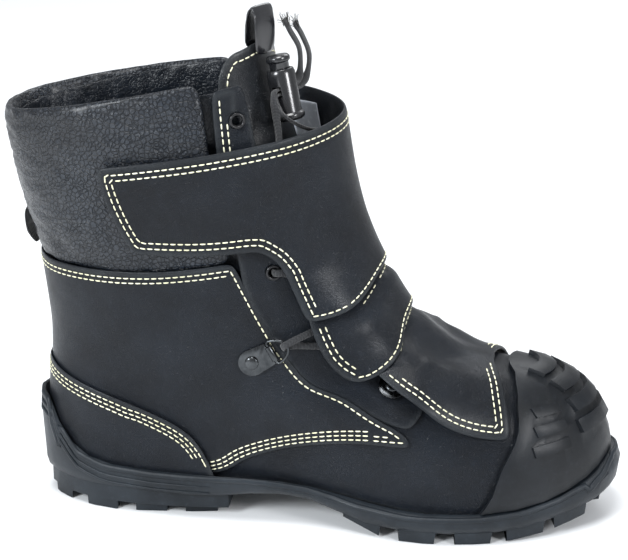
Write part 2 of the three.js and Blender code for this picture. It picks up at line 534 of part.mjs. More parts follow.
// A folded tab sewn over the tongue's peak.
function pullTab() {
  const at = (across, ahead, z) => {
    const yaw = THREE.MathUtils.degToRad(28);
    return vec(123 + ahead * Math.cos(yaw) - across * Math.sin(yaw), -6 - ahead * Math.sin(yaw) - across * Math.cos(yaw), z);
  };
  const outline = [[3.4, 246], [3.4, 262], [2.2, 269], [0, 271.4], [-2.8, 269], [-4.5, 262], [-4.8, 249], [-3.4, 249], [-3.2, 262], [-1.8, 267], [-0.4, 269],
    [0.9, 267], [1.9, 262], [2.1, 246]];
  const n = outline.length;
  const positions = [-8, 8].flatMap((w) => outline.flatMap(([ahead, z]) => at(w, ahead, z).toArray()));
  const faces = THREE.ShapeUtils.triangulateShape(outline.map(([a, z]) => new THREE.Vector2(a, z)), []);
  const index = faces.flatMap(([a, b, c]) => [a, c, b, n + a, n + b, n + c]);
  for (let k = 0; k < n; k++) {
    const j = (k + 1) % n;
    index.push(k, j, n + j, k, n + j, n + k);
  }
  return solidFrom(positions, index);
}
add("tongue_pull_tab", pullTab(), 0x121316, 0.25);

// ---- hooks: a plate riveted to the facing, with a D-ring turning in its rolled end ----
function surfaceFrame(g, c, lift, aimG, aimC) {
  const origin = place(g, c, lift);
  const normal = lastNormal(g, c);
  const ahead = place(g + aimG, c + aimC, lift).sub(origin);
  ahead.addScaledVector(normal, -ahead.dot(normal)).normalize();
  return { origin, normal, ahead, across: normal.clone().cross(ahead) };
}
function seat(mesh, frame) {
  mesh.quaternion.setFromRotationMatrix(new THREE.Matrix4().makeBasis(frame.ahead, frame.across, frame.normal));
  mesh.position.copy(frame.origin);
}

const hookReach = 12; // from the rivet to the ring's hinge
const rollRadius = 1.9;
const boreRadius = 1.3;
const wire = 1.8;
const ringReach = 9.5;
const ringHalf = 6.4;

function hookPlate() {
  const shape = new THREE.Shape();
  shape.absarc(0, 0, 7, Math.PI / 2, (Math.PI * 3) / 2, false);
  shape.lineTo(hookReach, -6);
  shape.lineTo(hookReach, 6);
  shape.holes.push(new THREE.Path().absarc(0, 0, 2.2, 0, Math.PI * 2, true));
  const body = toManifold(new THREE.ExtrudeGeometry(shape, { depth: 1.1, bevelEnabled: false, curveSegments: 6 }));
  // the rolled end, with a bore for the ring's straight side
  const roll = toManifold(new THREE.CylinderGeometry(rollRadius, rollRadius, 8, 12).translate(hookReach, 0, rollRadius));
  const corners = toManifold(new THREE.BoxGeometry(3, 14, 4).translate(hookReach + 0.2, 0, 1.4));
  const middle = toManifold(new THREE.BoxGeometry(3, 8, 6).translate(hookReach + 0.2, 0, 1));
  const bore = toManifold(new THREE.CylinderGeometry(boreRadius, boreRadius, 10, 12).translate(hookReach, 0, rollRadius));
  return fromManifold(body.subtract(corners.subtract(middle)).add(roll).subtract(bore));
}

function rivet() {
  const profile = [[0, -2.4], [1.8, -2.4], [1.8, 1.3], [4, 1.3], [3.4, 2.4], [0, 3.2]];
  return new THREE.LatheGeometry(profile.map(([r, z]) => new THREE.Vector2(r, z)), 12).rotateX(Math.PI / 2);
}

// The D lies in the x-y plane, with its straight side on the y axis.
function dRing() {
  const arc = new THREE.EllipseCurve(0, 0, ringReach, ringHalf, -Math.PI / 2, Math.PI / 2, false);
  const pts = arc.getPoints(12).map((p) => vec(p.x, p.y, 0));
  const loop = new THREE.CatmullRomCurve3([...pts, vec(0, 2.5, 0), vec(0, -2.5, 0)], true, "catmullrom", 0.25);
  const [steps, sides] = [20, 6];
  const positions = [];
  const index = [];
  for (let i = 0; i < steps; i++) {
    const p = loop.getPointAt(i / steps);
    const tangent = loop.getTangentAt(i / steps);
    const side = vec(tangent.y, -tangent.x, 0).normalize();
    for (let k = 0; k < sides; k++) {
      const a = (k * Math.PI * 2) / sides;
      const q = p.clone().addScaledVector(side, (wire / 2) * Math.cos(a)).setZ((wire / 2) * Math.sin(a));
      positions.push(...q.toArray());
      const [m, j] = [(i + 1) % steps, (k + 1) % sides];
      index.push(i * sides + k, m * sides + k, m * sides + j, i * sides + k, m * sides + j, i * sides + j);
    }
  }
  return solidFrom(positions, index);
}

const ringFrames = {};
for (const hook of hooks) {
  for (const side of [1, -1]) {
    const name = `${hook.name}_${side > 0 ? "lateral" : "medial"}`;
    const frame = surfaceFrame(hook.girth, hook.column * side, upperLift + leather + hook.clear, hook.aim[0], hook.aim[1] * side);
    seat(add(`hook_plate_${name}`, hookPlate(), steel, 0.35, 1), frame);
    seat(add(`hook_rivet_${name}`, rivet(), 0x6a6e73, 0.3, 1), frame);
    // the ring rises a little from its hinge, to leave room for the lace below its end
    const tilt = THREE.MathUtils.degToRad(hook.tilt);
    const origin = frame.origin.clone().addScaledVector(frame.ahead, hookReach).addScaledVector(frame.normal, rollRadius);
    const ahead = frame.ahead.clone().multiplyScalar(Math.cos(tilt)).addScaledVector(frame.normal, Math.sin(tilt));
    const normal = ahead.clone().cross(frame.across);
    ringFrames[name] = { origin, ahead, across: frame.across, normal, up: side };
    seat(add(`d_ring_${name}`, dRing(), 0x5c6065, 0.3, 1), ringFrames[name]);
  }
}

const eyeletHole = 2.6;
function eyelet() {
  const profile = [[eyeletHole, -1.05], [3, -1.05], [3, 1.2], [4.5, 1.2], [3.9, 2], [eyeletHole, 1.8], [eyeletHole, -1.05]];
  return new THREE.LatheGeometry(profile.map(([r, z]) => new THREE.Vector2(r, z)), 12).rotateX(Math.PI / 2);
}
const facingMiddle = upperLift + leather / 2;
for (const side of [1, -1]) {
  eyeletSpots.forEach(([g, c], k) => {
    const name = `eyelet_${k + 1}_${side > 0 ? "lateral" : "medial"}`;
    seat(add(name, eyelet(), 0x33363a, 0.3, 1), surfaceFrame(g, c * side, facingMiddle, 0.3, 0));
  });
}

// ---- cord lock: a barrel with a sprung plunger, both crossed by the lace ----
const lockFoot = vec(138.4, -12.4, 214);
const lockAxis = vec(-0.2, 0.06, 0.98).normalize();
const lockAcross = vec(0.42, 0.907, 0).addScaledVector(lockAxis, -vec(0.42, 0.907, 0).dot(lockAxis)).normalize();
const lockAhead = lockAcross.clone().cross(lockAxis).normalize();
const laceLevel = 15; // height of the cross hole over the barrel's foot
const boreFloor = 2;
const plungerFoot = 8.4;
const lockFrame = { origin: lockFoot, ahead: lockAhead, across: lockAxis.clone().cross(lockAhead), normal: lockAxis };

function turned(profile, sides) {
  return toManifold(new THREE.LatheGeometry(profile.map(([r, z]) => new THREE.Vector2(r, z)), sides).rotateX(Math.PI / 2));
}
function lockBarrel() {
  const body = turned([[0, 0], [7, 0], [8, 1], [8, 3], [6.9, 4], [7.3, 24], [6.6, 26], [5.3, 26], [5.3, boreFloor], [0, boreFloor]], 18);
  const hole = toManifold(new THREE.BoxGeometry(5.4, 30, 5.4).translate(0, 0, laceLevel));
  return fromManifold(body.subtract(hole));
}
function lockPlunger() {
  const body = turned([[0, plungerFoot], [5, plungerFoot], [5, 29.3], [6.2, 30.2], [6.2, 32], [5, 33.2], [0, 33.6]], 16);
  const hole = toManifold(new THREE.BoxGeometry(5.4, 30, 8.6).translate(0, 0, laceLevel + 1.4));
  return fromManifold(body.subtract(hole));
}
function lockSpring() {
  const [turns, perTurn, sides, radius, wireRadius] = [3, 9, 6, 3.6, 0.45];
  const [from, to] = [boreFloor + 0.8, plungerFoot - 0.8];
  const pts = Array.from({ length: turns * perTurn + 1 }, (_, i) => {
    const a = (i / perTurn) * Math.PI * 2;
    return vec(radius * Math.cos(a), radius * Math.sin(a), from + ((to - from) * i) / (turns * perTurn));
  });
  const section = new THREE.Shape().absarc(0, 0, wireRadius, 0, Math.PI * 2, false);
  const extrudePath = new THREE.CatmullRomCurve3(pts);
  return new THREE.ExtrudeGeometry(section, { steps: turns * perTurn, curveSegments: sides / 2, extrudePath, bevelEnabled: false });
}
seat(add("cord_lock_barrel", lockBarrel(), 0x0f1012, 0.35), lockFrame);
seat(add("cord_lock_plunger", lockPlunger(), 0x141518, 0.3), lockFrame);
seat(add("cord_lock_spring", lockSpring(), 0x8b8f94, 0.3, 1), lockFrame);

// ---- lace: a flat woven band, swept with its thin way along the given normals ----
function band(stops, steps) {
  const route = new THREE.CatmullRomCurve3(stops.map((s) => s.p), false, "centripetal");
  const [sides, positions, index] = [6, [], []];
  const n = stops.length - 1;
  for (let i = 0; i <= steps; i++) {
    const t = (n * i) / steps;
    const k = Math.min(Math.floor(t), n - 1);
    const thin = stops[k].n.clone().lerp(stops[k + 1].n, t - k);
    const tangent = route.getTangent(i / steps);
    thin.addScaledVector(tangent, -thin.dot(tangent)).normalize();
    const wide = tangent.clone().cross(thin);
    const p = route.getPoint(i / steps);
    for (let j = 0; j < sides; j++) {
      const a = ((j + 0.5) * Math.PI * 2) / sides;
      const q = p.clone().addScaledVector(wide, (laceWide / 2) * Math.cos(a)).addScaledVector(thin, (laceThick / 2) * Math.sin(a));
      positions.push(...q.toArray());
      const m = (j + 1) % sides;
      if (i < steps) index.push(i * sides + j, i * sides + m, (i + 1) * sides + m, i * sides + j, (i + 1) * sides + m, (i + 1) * sides + j);
    }
  }
  for (let j = 2; j < sides; j++) {
    index.push(0, j, j - 1);
    index.push(steps * sides, steps * sides + j - 1, steps * sides + j);
  }
  return solidFrom(positions, index);
}

const over = (g, c, lift) => ({ p: place(g, c, lift), n: lastNormal(g, c) });
// Round the end of a ring: below its wire, through it and back above it.
function roundRing(name, side) {
  const f = ringFrames[name];
  const tip = f.origin.clone().addScaledVector(f.ahead, ringReach);
  const stop = (a, n, up, na, nn) => ({
    p: tip.clone().addScaledVector(f.ahead, a).addScaledVector(f.normal, n).addScaledVector(f.across, up * side),
    n: f.ahead.clone().multiplyScalar(na).addScaledVector(f.normal, nn).normalize(),
  });
  const [clear, slip] = [wire / 2 + laceThick / 2 + 0.6, 1.6];
  return [stop(1.5, -clear, -slip, 0, 1), stop(-1.6, -clear * 0.9, -slip * 0.6, 0.6, 0.8), stop(-clear - 0.2, 0, 0, 1, 0),
    stop(-1.6, clear * 0.9, slip * 0.6, 0.6, -0.8), stop(1.5, clear, slip, 0, -1)];
}
const flipped = (stops) => stops.map((s) => ({ p: s.p, n: s.n.clone().negate() }));
// Through an eyelet: the band comes over the facing, turns in, and leaves below it, or the other way.
function throughEyelet(k, side, inwards) {
  const [g, c] = eyeletSpots[k];
  const normal = lastNormal(g, c * side);
  const outwards = lastPoint(g, (c + 0.1) * side).sub(lastPoint(g, c * side)).normalize();
  const stop = (dc, lift, nn, nc) => ({
    p: place(g, (c + dc) * side, facingMiddle + lift),
    n: normal.clone().multiplyScalar(nn).addScaledVector(outwards, nc).normalize(),
  });
  const stops = [stop(-0.16, 3.9, 1, 0), stop(-0.03, 3.2, 1, 1), stop(0, 1, 0, 1), stop(0, -1, 0, 1), stop(-0.03, -2.6, -1, 1), stop(-0.16, -3.4, -1, 0)];
  return inwards ? stops : stops.reverse();
}
const lockPoint = (across, rise) => lockFoot.clone().addScaledVector(lockAxis, laceLevel + rise).addScaledVector(lockAcross, across);

// A crossing over the tongue, from one side of the boot to the other.
function crossing(girth, from, reach, middle, end) {
  const lift = middle + (from > 0 ? 2.7 : 0);
  return [[-0.12, 1, end], [-0.05, 0.5, lift + 0.6], [0, 0, lift], [0.05, -0.5, lift + 0.6], [0.12, -1, end]]
    .map(([dg, share, high]) => over(girth + dg, reach * share * from, high));
}

// One half of the lace, from the bar across the instep up through the cord lock.
function laceHalf(side) {
  const [near, far] = side > 0 ? ["lateral", "medial"] : ["medial", "lateral"];
  const inlet = side > 0
    ? [place(8.85, -2, 4), place(9, -1.2, 3.5), vec(149, 8, 204), vec(148, -8, 208), vec(144, -20, 213), vec(137, -25, 219)]
    : [vec(135, -38, 192), vec(136, -33, 206), vec(134, -28, 217)];
  const upright = (p) => ({ p, n: lockAxis.clone() });
  return [
    over(5.3, 0.04 * side, -0.1), over(5.28, 0.7 * side, 0), over(5.17, 1.4 * side, 1), over(4.98, 1.8 * side, 3.2),
    ...roundRing(`instep_${near}`, side),
    ...flipped(crossing(5.6, side, 1.7, 0.3, 6.6)),
    ...flipped(roundRing(`ankle_${far}`, -side)),
    ...crossing(6.75, -side, 1.7, 0.3, 5),
    ...throughEyelet(0, side, true),
    ...flipped(crossing(8.03, side, 1.6, -0.9, 0.8)),
    ...throughEyelet(1, -side, false),
    ...inlet.map(upright), ...[-10.5, -4, 3, 9].map((a) => upright(lockPoint(a, side * 1.15))),
  ];
}
const lace = toManifold(band(laceHalf(1), 92)).add(toManifold(band(laceHalf(-1), 92)));
add("lace", fromManifold(lace), 0x17181a, 0.9);

// The two ends stand up beside the tongue, each with a frayed tip.
const tailStops = {
  a: [lockPoint(9.5, 1.15), lockPoint(13, 2), vec(141.5, 3.5, 236), vec(141, 4, 247), vec(136.5, 3, 256), vec(134, 1, 262)],
  b: [lockPoint(9.5, -1.15), lockPoint(14, -1), vec(144.5, 7, 233), vec(145.5, 8.5, 243), vec(142, 9.5, 252), vec(138, 9, 259)],
};
for (const [key, stops] of Object.entries(tailStops)) {
  const turn = vec(0.9, -0.3, 0.3).normalize();
  const set = stops.map((p, i) => ({ p, n: i < 1 ? lockAxis.clone() : lockAxis.clone().lerp(turn, Math.min(1, i / 2.5)).normalize() }));
  add(`lace_tail_${key}`, band(set, 24), 0x17181a, 0.9);
}

// ---- a short ribbon loop at the back of the collar's seam ----
function rearLoop() {
  const outer = [[2.2, 140.6], [-1, 143], [-3.3, 147.5], [-4, 152], [-3.9, 156.5], [-3.3, 160.6]];
  const inner = [[-2.6, 156.5], [-2.6, 152], [-2, 148.5], [-0.2, 144.8], [2, 142.1]];
  const shape = new THREE.Shape([...outer, ...inner].map(([x, z]) => new THREE.Vector2(x, z)));
  return new THREE.ExtrudeGeometry(shape, { depth: 12, bevelEnabled: false }).rotateX(Math.PI / 2).translate(0, 6, 0);
}
add("rear_pull_loop", rearLoop(), 0x141518, 0.8);

// The origin is the middle of the boot's outline, on the floor.
const outline = new THREE.Box3();
for (const mesh of boot.children) outline.expandByObject(mesh, true);
const middle = outline.getCenter(vec(0, 0, 0));
boot.position.set(-middle.x, -middle.y, 0);

export default boot;
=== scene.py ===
import bpy
import bmesh
import math
import random
from mathutils import Matrix, Vector, noise
from mathutils.bvhtree import BVHTree
from mathutils.kdtree import KDTree


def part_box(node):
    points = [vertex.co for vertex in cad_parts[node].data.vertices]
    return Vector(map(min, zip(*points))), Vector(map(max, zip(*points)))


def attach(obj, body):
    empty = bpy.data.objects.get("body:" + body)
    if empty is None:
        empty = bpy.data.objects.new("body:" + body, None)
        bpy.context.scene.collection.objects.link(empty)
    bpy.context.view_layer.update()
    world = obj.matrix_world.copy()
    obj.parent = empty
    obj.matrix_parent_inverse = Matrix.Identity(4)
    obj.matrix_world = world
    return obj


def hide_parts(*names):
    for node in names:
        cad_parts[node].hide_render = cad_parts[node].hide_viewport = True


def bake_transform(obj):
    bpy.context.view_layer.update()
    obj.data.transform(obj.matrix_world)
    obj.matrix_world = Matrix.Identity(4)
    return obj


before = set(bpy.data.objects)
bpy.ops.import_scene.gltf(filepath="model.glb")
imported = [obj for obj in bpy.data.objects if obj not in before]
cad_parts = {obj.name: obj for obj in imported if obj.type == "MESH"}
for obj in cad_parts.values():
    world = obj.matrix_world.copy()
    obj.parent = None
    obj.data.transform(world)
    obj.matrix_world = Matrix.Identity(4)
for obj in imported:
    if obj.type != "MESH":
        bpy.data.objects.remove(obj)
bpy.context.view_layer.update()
mm = 0.001
sides = ("lateral", "medial")
scene = bpy.context.scene
noise.seed_set(3)

# camera, floor and lights
photoView = {
    "turn": 7,
    "rise": 20,
    "distance": 1.0,
    "target": (-0.0004, 0.0005, 0.110),
    "lens": 108.5,
    "shift": (-0.003, 0.041),
    "nearest": 0.01}


def addCamera():
    turn, rise = math.radians(photoView["turn"]), math.radians(photoView["rise"])
    back = Vector((math.sin(turn) * math.cos(rise), -math.cos(turn) * math.cos(rise), math.sin(rise)))
    bpy.ops.object.camera_add(location=Vector(photoView["target"]) + back * photoView["distance"])
    camera = bpy.context.object
    camera.rotation_euler = back.to_track_quat("Z", "Y").to_euler()
    camera.data.lens = photoView["lens"]
    camera.data.shift_x, camera.data.shift_y = photoView["shift"]
    camera.data.clip_start = photoView["nearest"]
    scene.camera = camera


# each lamp has a place, a size, a power and a colour
studio = {
    "world": (0.95, 0.97, 1.0),
    "worldPower": 0.5,
    "aim": Vector((0, 0, 0.12)),
    "floorSize": 12,
    "floorDrop": 0.0002,
    "lamps": [
        ((-1.0, -1.2, 0.9), 0.5, 30, (0.93, 0.97, 1.0)),
        ((1.3, -0.9, 0.8), 0.4, 16, (0.97, 0.98, 1.0)),
        ((0.3, 1.4, 1.6), 1.2, 18, (0.96, 0.98, 1.0)),
        ((-0.1, -0.4, 2.0), 0.8, 26, (1, 1, 1))]}


def addStudio():
    world = bpy.data.worlds.new("studioWorld")
    world.use_nodes = True
    background = world.node_tree.nodes["Background"]
    background.inputs["Color"].default_value = (*studio["world"], 1)
    background.inputs["Strength"].default_value = studio["worldPower"]
    scene.world = world
    for place, size, power, color in studio["lamps"]:
        bpy.ops.object.light_add(type="AREA", location=place)
        lamp = bpy.context.object
        lamp.rotation_euler = (Vector(place) - studio["aim"]).to_track_quat("Z", "Y").to_euler()
        lamp.data.size, lamp.data.energy, lamp.data.color = size, power, color
    bpy.ops.mesh.primitive_plane_add(size=studio["floorSize"], location=(0, 0, -studio["floorDrop"]))
    floor = bpy.context.object
    floor.name = "floor"
    floor.data.materials.append(paleFloor())


# material building
def addNode(tree, kind, settings=None, **inputs):
    node = tree.nodes.new(kind)
    for key, value in (settings or {}).items():
        setattr(node, key, value)
    for key, value in inputs.items():
        socket = node.inputs[key.replace("_", " ")]
        if isinstance(value, bpy.types.NodeSocket):
            tree.links.new(value, socket)
        else:
            socket.default_value = value
    return node


def mathNode(tree, operation, a, b=0.0, clamp=False):
    node = tree.nodes.new("ShaderNodeMath")
    node.operation, node.use_clamp = operation, clamp
    for socket, value in zip(node.inputs, (a, b)):
        if isinstance(value, bpy.types.NodeSocket):
            tree.links.new(value, socket)
        else:
            socket.default_value = value
    return node.outputs[0]


def rescale(tree, value, low, high, toLow, toHigh):
    node = addNode(tree, "ShaderNodeMapRange", None, Value=value, From_Min=low, From_Max=high,
                   To_Min=toLow, To_Max=toHigh)
    return node.outputs[0]


def noiseNode(tree, place, scale, detail, **inputs):
    texture = addNode(tree, "ShaderNodeTexNoise", None, Vector=place, Scale=scale, Detail=detail, **inputs)
    return texture.outputs["Fac"]


def mixColor(tree, factor, a, b):
    node = tree.nodes.new("ShaderNodeMix")
    node.data_type = "RGBA"
    for index, value in ((0, factor), (6, a), (7, b)):
        if isinstance(value, bpy.types.NodeSocket):
            tree.links.new(value, node.inputs[index])
        else:
            node.inputs[index].default_value = value
    return node.outputs[2]


def makeGroup(name, inputs, outputs, build):
    tree = bpy.data.node_groups.new(name, "ShaderNodeTree")
    for label, kind, value in inputs:
        socket = tree.interface.new_socket(label, in_out="INPUT", socket_type="NodeSocket" + kind)
        if value is not None:
            socket.default_value = value
    for label, kind in outputs:
        tree.interface.new_socket(label, in_out="OUTPUT", socket_type="NodeSocket" + kind)
    given = tree.nodes.new("NodeGroupInput").outputs
    taken = tree.nodes.new("NodeGroupOutput").inputs
    build(tree, given, taken)
    return tree


def useGroup(tree, group, **inputs):
    node = tree.nodes.new("ShaderNodeGroup")
    node.node_tree = group
    for key, value in inputs.items():
        socket = node.inputs[key]
        if isinstance(value, bpy.types.NodeSocket):
            tree.links.new(value, socket)
        else:
            socket.default_value = value
    return node.outputs


def buildGrain(tree, given, taken):
    # small closed cells with pores between them, over soft folds
    cells = addNode(tree, "ShaderNodeTexVoronoi", {"feature": "DISTANCE_TO_EDGE"},
                    Vector=given["Vector"], Scale=given["Cells"])
    pores = rescale(tree, cells.outputs["Distance"], 0.0, 0.14, 0.0, 1.0)
    folds = noiseNode(tree, given["Vector"], given["Folds"], 4.0, Roughness=0.6)
    fine = noiseNode(tree, given["Vector"], 2600.0, 2.0)
    height = mathNode(tree, "ADD", mathNode(tree, "MULTIPLY", pores, given["CellDepth"]),
                      mathNode(tree, "MULTIPLY", folds, given["FoldDepth"]))
    height = mathNode(tree, "ADD", height, mathNode(tree, "MULTIPLY", fine, 0.12))
    tree.links.new(height, taken["Height"])
    tree.links.new(pores, taken["Pores"])


def buildTone(tree, given, taken):
    # slow change between two colours, with faint rubbed spots
    slow = noiseNode(tree, given["Vector"], given["Scale"], 5.0, Roughness=0.62)
    share = rescale(tree, slow, 0.32, 0.68, 0.0, 1.0)
    spots = noiseNode(tree, given["Vector"], 420.0, 3.0)
    rubbed = rescale(tree, spots, 0.58, 0.75, 0.0, 0.35)
    color = mixColor(tree, share, given["Dark"], given["Light"])
    color = mixColor(tree, rubbed, color, given["Rubbed"])
    tree.links.new(color, taken["Color"])
    tree.links.new(share, taken["Share"])


def buildWeave(tree, given, taken):
    # two crossing ribs
    across, along = [addNode(tree, "ShaderNodeTexWave", {"bands_direction": way}, Vector=given["Vector"],
                             Scale=given["Ribs"], Distortion=0.6).outputs["Fac"] for way in ("X", "Y")]
    height = mathNode(tree, "MULTIPLY", across, mathNode(tree, "ADD", along, 0.4))
    tree.links.new(height, taken["Height"])


def buildScratches(tree, given, taken):
    # long thin marks
    stretched = addNode(tree, "ShaderNodeMapping", None, Vector=given["Vector"], Scale=(900.0, 900.0, 60.0))
    lines = noiseNode(tree, stretched.outputs["Vector"], 1.0, 4.0, Roughness=0.7)
    tree.links.new(rescale(tree, lines, 0.4, 0.7, 0.0, 1.0), taken["Mask"])


vectorIn = ("Vector", "Vector", None)
black = (0, 0, 0, 1)
grainInputs = [vectorIn, ("Cells", "Float", 1200.0), ("Folds", "Float", 120.0),
               ("CellDepth", "Float", 0.5), ("FoldDepth", "Float", 0.8)]
grainGroup = makeGroup("leatherGrain", grainInputs, [("Height", "Float"), ("Pores", "Float")], buildGrain)
toneInputs = [vectorIn, ("Scale", "Float", 30.0), ("Dark", "Color", black), ("Light", "Color", black),
              ("Rubbed", "Color", black)]
toneGroup = makeGroup("colourDrift", toneInputs, [("Color", "Color"), ("Share", "Float")], buildTone)
weaveGroup = makeGroup("ribWeave", [vectorIn, ("Ribs", "Float", 300.0)], [("Height", "Float")], buildWeave)
scratchGroup = makeGroup("metalScratches", [vectorIn], [("Mask", "Float")], buildScratches)


def startMaterial(name, **sockets):
    material = bpy.data.materials.new(name)
    material.use_nodes = True
    tree = material.node_tree
    shader = tree.nodes["Principled BSDF"]
    for key, value in sockets.items():
        shader.inputs[key.replace("_", " ")].default_value = value
    place = tree.nodes.new("ShaderNodeTexCoord").outputs["Object"]
    return material, tree, shader, place


def rgb(r, g, b):
    return (r, g, b, 1.0)


def setBump(tree, shader, height, strength, depth):
    bump = addNode(tree, "ShaderNodeBump", None, Height=height, Strength=strength, Distance=depth)
    tree.links.new(bump.outputs["Normal"], shader.inputs["Normal"])


def paler(color, gain):
    return tuple(min(1, c * gain) for c in color[:3]) + (1,)


def leather(name, dark, light, rough, hide, depth, coat=0.08, edge=True, gloss=0.2):
    # hide gives the grain: cells, folds and how deep each is
    cells, folds, cellDepth, foldDepth = hide
    material, tree, shader, place = startMaterial(name, Coat_Weight=coat, Coat_Roughness=0.3,
                                                  Specular_IOR_Level=gloss)
    # random tone drift of the hide; its lighter patches also stand in for soft blotchy sheen, partly a
    # painted highlight
    tones = useGroup(tree, toneGroup, Vector=place, Scale=26.0, Dark=dark, Light=light,
                     Rubbed=paler(light, 1.7))
    grain = useGroup(tree, grainGroup, Vector=place, Cells=cells, Folds=folds, CellDepth=cellDepth,
                     FoldDepth=foldDepth)
    # grooves between the grain cells are painted darker, a painted shade in the grain
    pores = rescale(tree, grain["Pores"], 0.0, 1.0, 0.45, 0.0)
    color = mixColor(tree, pores, tones["Color"], rgb(0.004, 0.005, 0.007))
    if edge:
        # a paler band painted along the rim, a painted reflection of the folded edge
        near = addNode(tree, "ShaderNodeAttribute", {"attribute_name": "edgeNear"}).outputs["Fac"]
        share = rescale(tree, tones["Share"], 0.0, 1.0, 0.2, 0.6)
        paintedRimReflection = mathNode(tree, "MULTIPLY", near, share, clamp=True)
        color = mixColor(tree, paintedRimReflection, color, rgb(0.045, 0.05, 0.053))
    tree.links.new(color, shader.inputs["Base Color"])
    matt = rescale(tree, tones["Share"], 0.0, 1.0, rough + 0.1, rough - 0.08)
    tree.links.new(matt, shader.inputs["Roughness"])
    setBump(tree, shader, grain["Height"], 0.9, depth)
    return material


def moulded(name, dark, light, rough, depth, grain=900.0, metallic=0.0, coat=0.0, gloss=0.5):
    material, tree, shader, place = startMaterial(name, Metallic=metallic, Coat_Weight=coat,
                                                  Coat_Roughness=0.2, Specular_IOR_Level=gloss)
    tones = useGroup(tree, toneGroup, Vector=place, Scale=40.0, Dark=dark, Light=light,
                     Rubbed=paler(light, 1.9))
    tree.links.new(tones["Color"], shader.inputs["Base Color"])
    matt = rescale(tree, tones["Share"], 0.0, 1.0, rough + 0.06, rough - 0.06)
    tree.links.new(matt, shader.inputs["Roughness"])
    setBump(tree, shader, noiseNode(tree, place, grain, 5.0, Roughness=0.7), 0.4, depth)
    return material


def polished(name, dark, light, rough):
    material, tree, shader, place = startMaterial(name, Metallic=1.0)
    tones = useGroup(tree, toneGroup, Vector=place, Scale=90.0, Dark=dark, Light=light, Rubbed=light)
    marks = useGroup(tree, scratchGroup, Vector=place)["Mask"]
    tree.links.new(tones["Color"], shader.inputs["Base Color"])
    tree.links.new(rescale(tree, marks, 0.0, 1.0, rough, rough + 0.16), shader.inputs["Roughness"])
    setBump(tree, shader, marks, 0.12, 0.00005)
    return material


def woven(name, dark, light, ribs, coordinates="Object"):
    material, tree, shader, place = startMaterial(name, Sheen_Weight=0.25, Sheen_Roughness=0.5)
    if coordinates == "UV":
        place = tree.nodes["Texture Coordinate"].outputs["UV"]
    height = useGroup(tree, weaveGroup, Vector=place, Ribs=ribs)["Height"]
    tones = useGroup(tree, toneGroup, Vector=place, Scale=60.0, Dark=dark, Light=light, Rubbed=light)
    # the gaps between ribs are painted darker, a painted shade between the ribs
    gapShade = rescale(tree, height, 0.0, 1.0, 0.7, 0.0)
    color = mixColor(tree, gapShade, tones["Color"], rgb(0.004, 0.004, 0.005))
    tree.links.new(color, shader.inputs["Base Color"])
    tree.links.new(rescale(tree, height, 0.0, 1.0, 0.95, 0.75), shader.inputs["Roughness"])
    setBump(tree, shader, height, 0.8, 0.0003)
    return material


def paleFloor():
    material, tree, shader, place = startMaterial("paleFloor", Roughness=0.7)
    pale = rgb(0.86, 0.87, 0.88)
    tones = useGroup(tree, toneGroup, Vector=place, Scale=3.0, Dark=rgb(0.83, 0.84, 0.85), Light=pale,
                     Rubbed=pale)
    tree.links.new(tones["Color"], shader.inputs["Base Color"])
    return material


smoothHide = leather("smoothHide", rgb(0.003, 0.0042, 0.0068), rgb(0.009, 0.0125, 0.0185), 0.37,
                     (1300.0, 75.0, 0.5, 1.5), 0.0005)
grainedHide = leather("grainedHide", rgb(0.005, 0.007, 0.011), rgb(0.014, 0.019, 0.027), 0.36,
                      (420.0, 130.0, 0.9, 1.9), 0.0014, coat=0.3, edge=False, gloss=0.3)
glossLining = leather("glossLining", rgb(0.003, 0.004, 0.006), rgb(0.008, 0.011, 0.016), 0.3,
                      (420.0, 80.0, 0.15, 2.4), 0.0011, coat=0.2, edge=False)
tongueHide = leather("tongueHide", rgb(0.004, 0.005, 0.007), rgb(0.011, 0.013, 0.016), 0.36,
                     (900.0, 120.0, 0.5, 1.0), 0.0003, coat=0.25)
soleRubber = moulded("soleRubber", rgb(0.005, 0.0075, 0.0105), rgb(0.015, 0.02, 0.026), 0.46, 0.0002,
                     gloss=0.28)
guardRubber = moulded("guardRubber", rgb(0.004, 0.005, 0.0065), rgb(0.01, 0.012, 0.015), 0.4, 0.0002,
                      grain=1500.0, gloss=0.25)
lockPlastic = moulded("lockPlastic", rgb(0.006, 0.006, 0.007), rgb(0.013, 0.014, 0.016),
                      0.24, 0.00005, coat=0.4)
tabGloss = moulded("tabGloss", rgb(0.006, 0.006, 0.008), rgb(0.014, 0.015, 0.018),
                   0.2, 0.0003, grain=320.0, coat=0.6)
blackRing = moulded("blackRing", rgb(0.012, 0.012, 0.013), rgb(0.03, 0.03, 0.032),
                    0.3, 0.00004, metallic=0.6)
gunmetal = polished("gunmetal", rgb(0.03, 0.033, 0.036), rgb(0.09, 0.095, 0.1), 0.2)
springSteel = polished("springSteel", rgb(0.5, 0.5, 0.5), rgb(0.65, 0.65, 0.65), 0.25)
laceWeave = woven("laceWeave", rgb(0.008, 0.009, 0.011), rgb(0.02, 0.022, 0.026), 420.0)
tailWeave = woven("tailWeave", rgb(0.008, 0.009, 0.011), rgb(0.022, 0.024, 0.028), 2.4, coordinates="UV")
fastener = moulded("fastener", rgb(0.006, 0.006, 0.007), rgb(0.02, 0.02, 0.022),
                   0.9, 0.0008, grain=1400.0, gloss=0.2)
frayFibre = moulded("frayFibre", rgb(0.012, 0.011, 0.01), rgb(0.04, 0.037, 0.033), 0.9, 0.0001, gloss=0.1)
patchCloth = moulded("patchCloth", rgb(0.36, 0.39, 0.44), rgb(0.5, 0.53, 0.58),
                     0.9, 0.0003, grain=1800.0, gloss=0.2)
liningKnit = woven("liningKnit", rgb(0.03, 0.03, 0.034), rgb(0.06, 0.06, 0.066), 500.0)
foamBlock = moulded("foamBlock", rgb(0.03, 0.032, 0.036), rgb(0.07, 0.072, 0.078), 0.9, 0.0004, grain=700.0)
